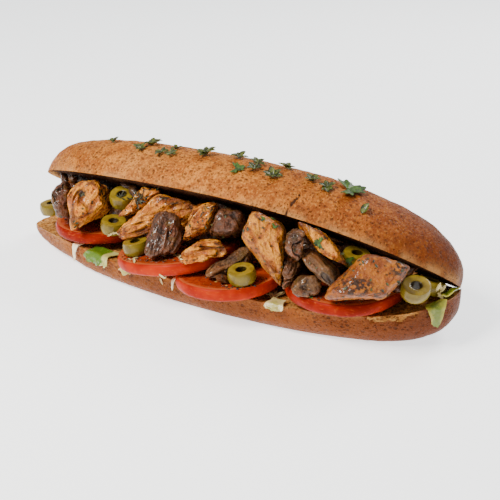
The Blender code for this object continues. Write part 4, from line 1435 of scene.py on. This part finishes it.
thyme_green = herb_finish("thyme", (0.090, 0.105, 0.006), (0.018, 0.028, 0.002))
parsley_green = herb_finish("parsley", (0.045, 0.105, 0.003), (0.012, 0.036, 0.001))
dried_green = herb_finish("dried herbs", (0.055, 0.055, 0.008), (0.012, 0.011, 0.003))


def thyme_leaf():
    """A folded oval, one unit long."""
    rows, columns = 6, 5
    grid = np.zeros((rows, columns, 3))
    for i, j in itertools.product(range(rows), range(columns)):
        t, s = i / (rows - 1), j / (columns - 1) * 2 - 1
        breadth = 0.29 * math.sin(math.pi * min(1, t * 0.96 + 0.03)) ** 0.7
        grid[i, j] = (t, s * breadth, 0.10 * math.sin(math.pi * t) + 0.28 * breadth * s * s - 0.06 * t)
    return thin_body(grid, 0.055)


place_copies("thyme_leaves", pattern("thyme leaf", *thyme_leaf()), thyme_places(), thyme_green)


# %% Parsley
def parsley_leaf(root, along, inward, normal, length, turn, finish, name):
    """Three toothed lobes on a polar grid, curled a little off the crust."""
    rows, columns = 10, 61
    grid = np.zeros((rows, columns, 3))
    heading, sideways = (
        np.array(along) * math.cos(a) + np.array(inward) * math.sin(a) for a in (turn, turn + math.pi / 2)
    )
    for j in range(columns):
        angle = (j / (columns - 1) - 0.5) * math.radians(250)
        lobe = 0.52 + 0.48 * abs(math.cos(1.5 * angle)) ** 0.7
        tooth = 1 + 0.11 * math.sin(13 * angle)
        for i in range(rows):
            reach = length * lobe * tooth ** (i / (rows - 1)) * (0.04 + 0.96 * i / (rows - 1))
            rise = 0.5 + 0.14 * reach + 0.06 * reach * math.sin(6 * angle)
            grid[i, j] = (
                np.array(root) + heading * reach * math.cos(angle) + sideways * reach * math.sin(angle)
                + np.array(normal) * rise
            )
    points, faces = thin_body(grid, 0.35)
    return make_piece(name, points, faces, [finish], sharp=60)


for number, (x, across, length, turn) in enumerate(PARSLEY):
    parsley_leaf(*on_crown(x, across), length, math.radians(turn), parsley_green, f"parsley_{number + 1}")

# %% [markdown]
# ## Chopped herbs on the meat
#
# Flakes of dried herb are scattered over the faces of the chunks, and crumbs of meat over the
# slices beside them. Needles and bits of lettuce and parsley lie where a line of sight from the
# camera meets the filling, so each one rests on whatever is there.


# %% Where the chopped herbs and bits lie
filling_tree = surface_tree([heel, shreds, *slices.values(), *olives.values(), *chunks.values()])
FLAKES = {
    "meat_pale_1": 60, "meat_pale_2": 30, "meat_pale_3": 26, "meat_pale_4": 26, "meat_pale_5": 6,
    "meat_pale_6": 14, "meat_pale_7": 14, "meat_pale_8": 34, "meat_dark_1": 6, "meat_dark_3": 14,
    "meat_dark_5": 16, "meat_dark_7": 8, "meat_dark_6": 8,
}
# Column and row of a 500-pixel picture, how many, and their length
NEEDLES = (
    (139, 199, 16, 4.2), (122, 196, 12, 4.5), (165, 197, 6, 2.6), (207, 213, 6, 3.0), (188, 196, 4, 2.6),
)
LETTUCE_BITS = (
    (276, 297, 9, 5.5), (112, 235, 4, 3.4), (178, 257, 5, 2.6), (160, 277, 5, 3.8), (134, 262, 3, 3.6),
    (438, 292, 5, 4.6),
)
# Column and row, length, and the way it points in degrees
PARSLEY_BITS = (
    (320, 243, 2.9, 20), (311, 297, 1.9, 80), (351, 261, 2.6, 10), (262, 219, 1.5, 200),
    (275, 226, 1.6, 90), (272, 219, 1.4, 20),
)


# %% Lines of sight
def seen_spot(column, row):
    """Where the line of sight through a place in the picture ends, and which way is out there."""
    per_pixel = PICTURE * FOCAL_LENGTH / SENSOR
    right, up = (column - PICTURE / 2) / per_pixel, (PICTURE / 2 - row) / per_pixel
    sight = -TOWARDS_EYE + RIGHTWARDS * right + UPWARDS * up
    spot, normal, _, _ = filling_tree.ray_cast(eye.location / MM, sight.normalized())
    return spot, normal


def across_normal(normal, turn):
    """A direction square to a normal, turned about it."""
    side = normal.cross(Vector((0.3, 0.2, 1))).normalized()
    return Matrix.Rotation(turn, 3, normal) @ side


# %% Places of the flakes, bits and crumbs
def flake_places():
    """Places on the faces of the chunks that show, in drifts."""
    draw = random.Random(21)
    places = []
    for node, count in FLAKES.items():
        faces = [
            face for face in chunks[node].data.polygons
            if face.normal.dot(TOWARDS_EYE) > 0.05 or face.normal.z > 0.4
        ]
        centres = np.array([tuple(face.center) for face in faces]) / MM
        thick = lumps(centres, 6, 91) > -0.15
        faces = [face for face, here in zip(faces, thick) if here]
        for face in draw.choices(faces, [face.area for face in faces], k=count):
            heading = across_normal(face.normal, draw.uniform(0, ANY_WAY))
            up, ahead = raised(heading, face.normal, draw.uniform(0, 0.3))
            places.append((face.center / MM, up, ahead, draw.uniform(1.0, 2.3)))
    return places


def sight_places(groups, seed, spread):
    """Slim pieces strewn about places in the picture, each on what is seen there."""
    draw = random.Random(seed)
    places = []
    for column, row, count, length in groups:
        for _ in range(count):
            aside, below = draw.uniform(-spread, spread), 0.7 * draw.uniform(-spread, spread)
            spot, normal = seen_spot(column + aside, row + below)
            if spot is None:
                continue
            heading = across_normal(normal, draw.uniform(0, ANY_WAY))
            up, ahead = raised(heading, normal, draw.uniform(0, 0.5))
            places.append((spot + normal * 0.1, up, ahead, length * draw.uniform(0.6, 1.1)))
    return places


def crumb_places(count):
    """Places on the slices' upper faces that lie close beside a chunk."""
    draw = random.Random(23)
    places = []
    faces = [face for obj in slices.values() for face in obj.data.polygons if face.normal.z > 0.8]
    for face in draw.choices(faces, [face.area for face in faces], k=60 * count):
        spot = face.center / MM
        if outside(near_tree, spot, 0.1) and near_tree.find_nearest(spot)[3] < draw.uniform(0, 5.5):
            heading = across_normal(face.normal, draw.uniform(0, ANY_WAY))
            places.append((spot, face.normal.copy(), heading, draw.uniform(0.7, 2.1)))
        if len(places) == count:
            break
    return places


# %% Making them
def small_leaf(broad):
    """A flat pointed oval of few faces, one unit long."""
    grid = np.zeros((4, 3, 3))
    for i, j in itertools.product(range(4), range(3)):
        t, s = i / 3, j - 1
        grid[i, j] = (t, s * broad * (0.35, 1, 0.9, 0.15)[i], 0.05 * math.sin(math.pi * t))
    return thin_body(grid, 0.08)


# Piece, the breadth of its small leaf, its places, finish and slot
for name, broad, places, finish, slot in (
    ("herb_flakes", 0.28, flake_places(), dried_green, "pale_meat"),
    ("herb_needles", 0.09, sight_places(NEEDLES, 22, 5), dried_green, "pale_meat"),
    ("lettuce_bits", 0.17, sight_places(LETTUCE_BITS, 24, 4), pale_leaf, "lettuce"),
):
    place_copies(name, pattern(name + " shape", *small_leaf(broad)), places, finish)
points, triangles = ball_shape(1, 0.5)
crumb_shape = pattern("meat crumb", points * (1, 0.7, 0.6), triangles.tolist())
# The crumbs beside the chunks take the shreds' finish, with its painted shade.
place_copies("meat_crumbs", crumb_shape, crumb_places(240), shaded_shred)
for number, (column, row, length, turn) in enumerate(PARSLEY_BITS):
    spot, normal = seen_spot(column, row)
    if spot is not None:
        along = across_normal(normal, 0)
        parsley_leaf(
            spot - normal * 0.3, along, normal.cross(along), normal, length, math.radians(turn),
            parsley_green, f"parsley_bit_{number + 1}",
        )
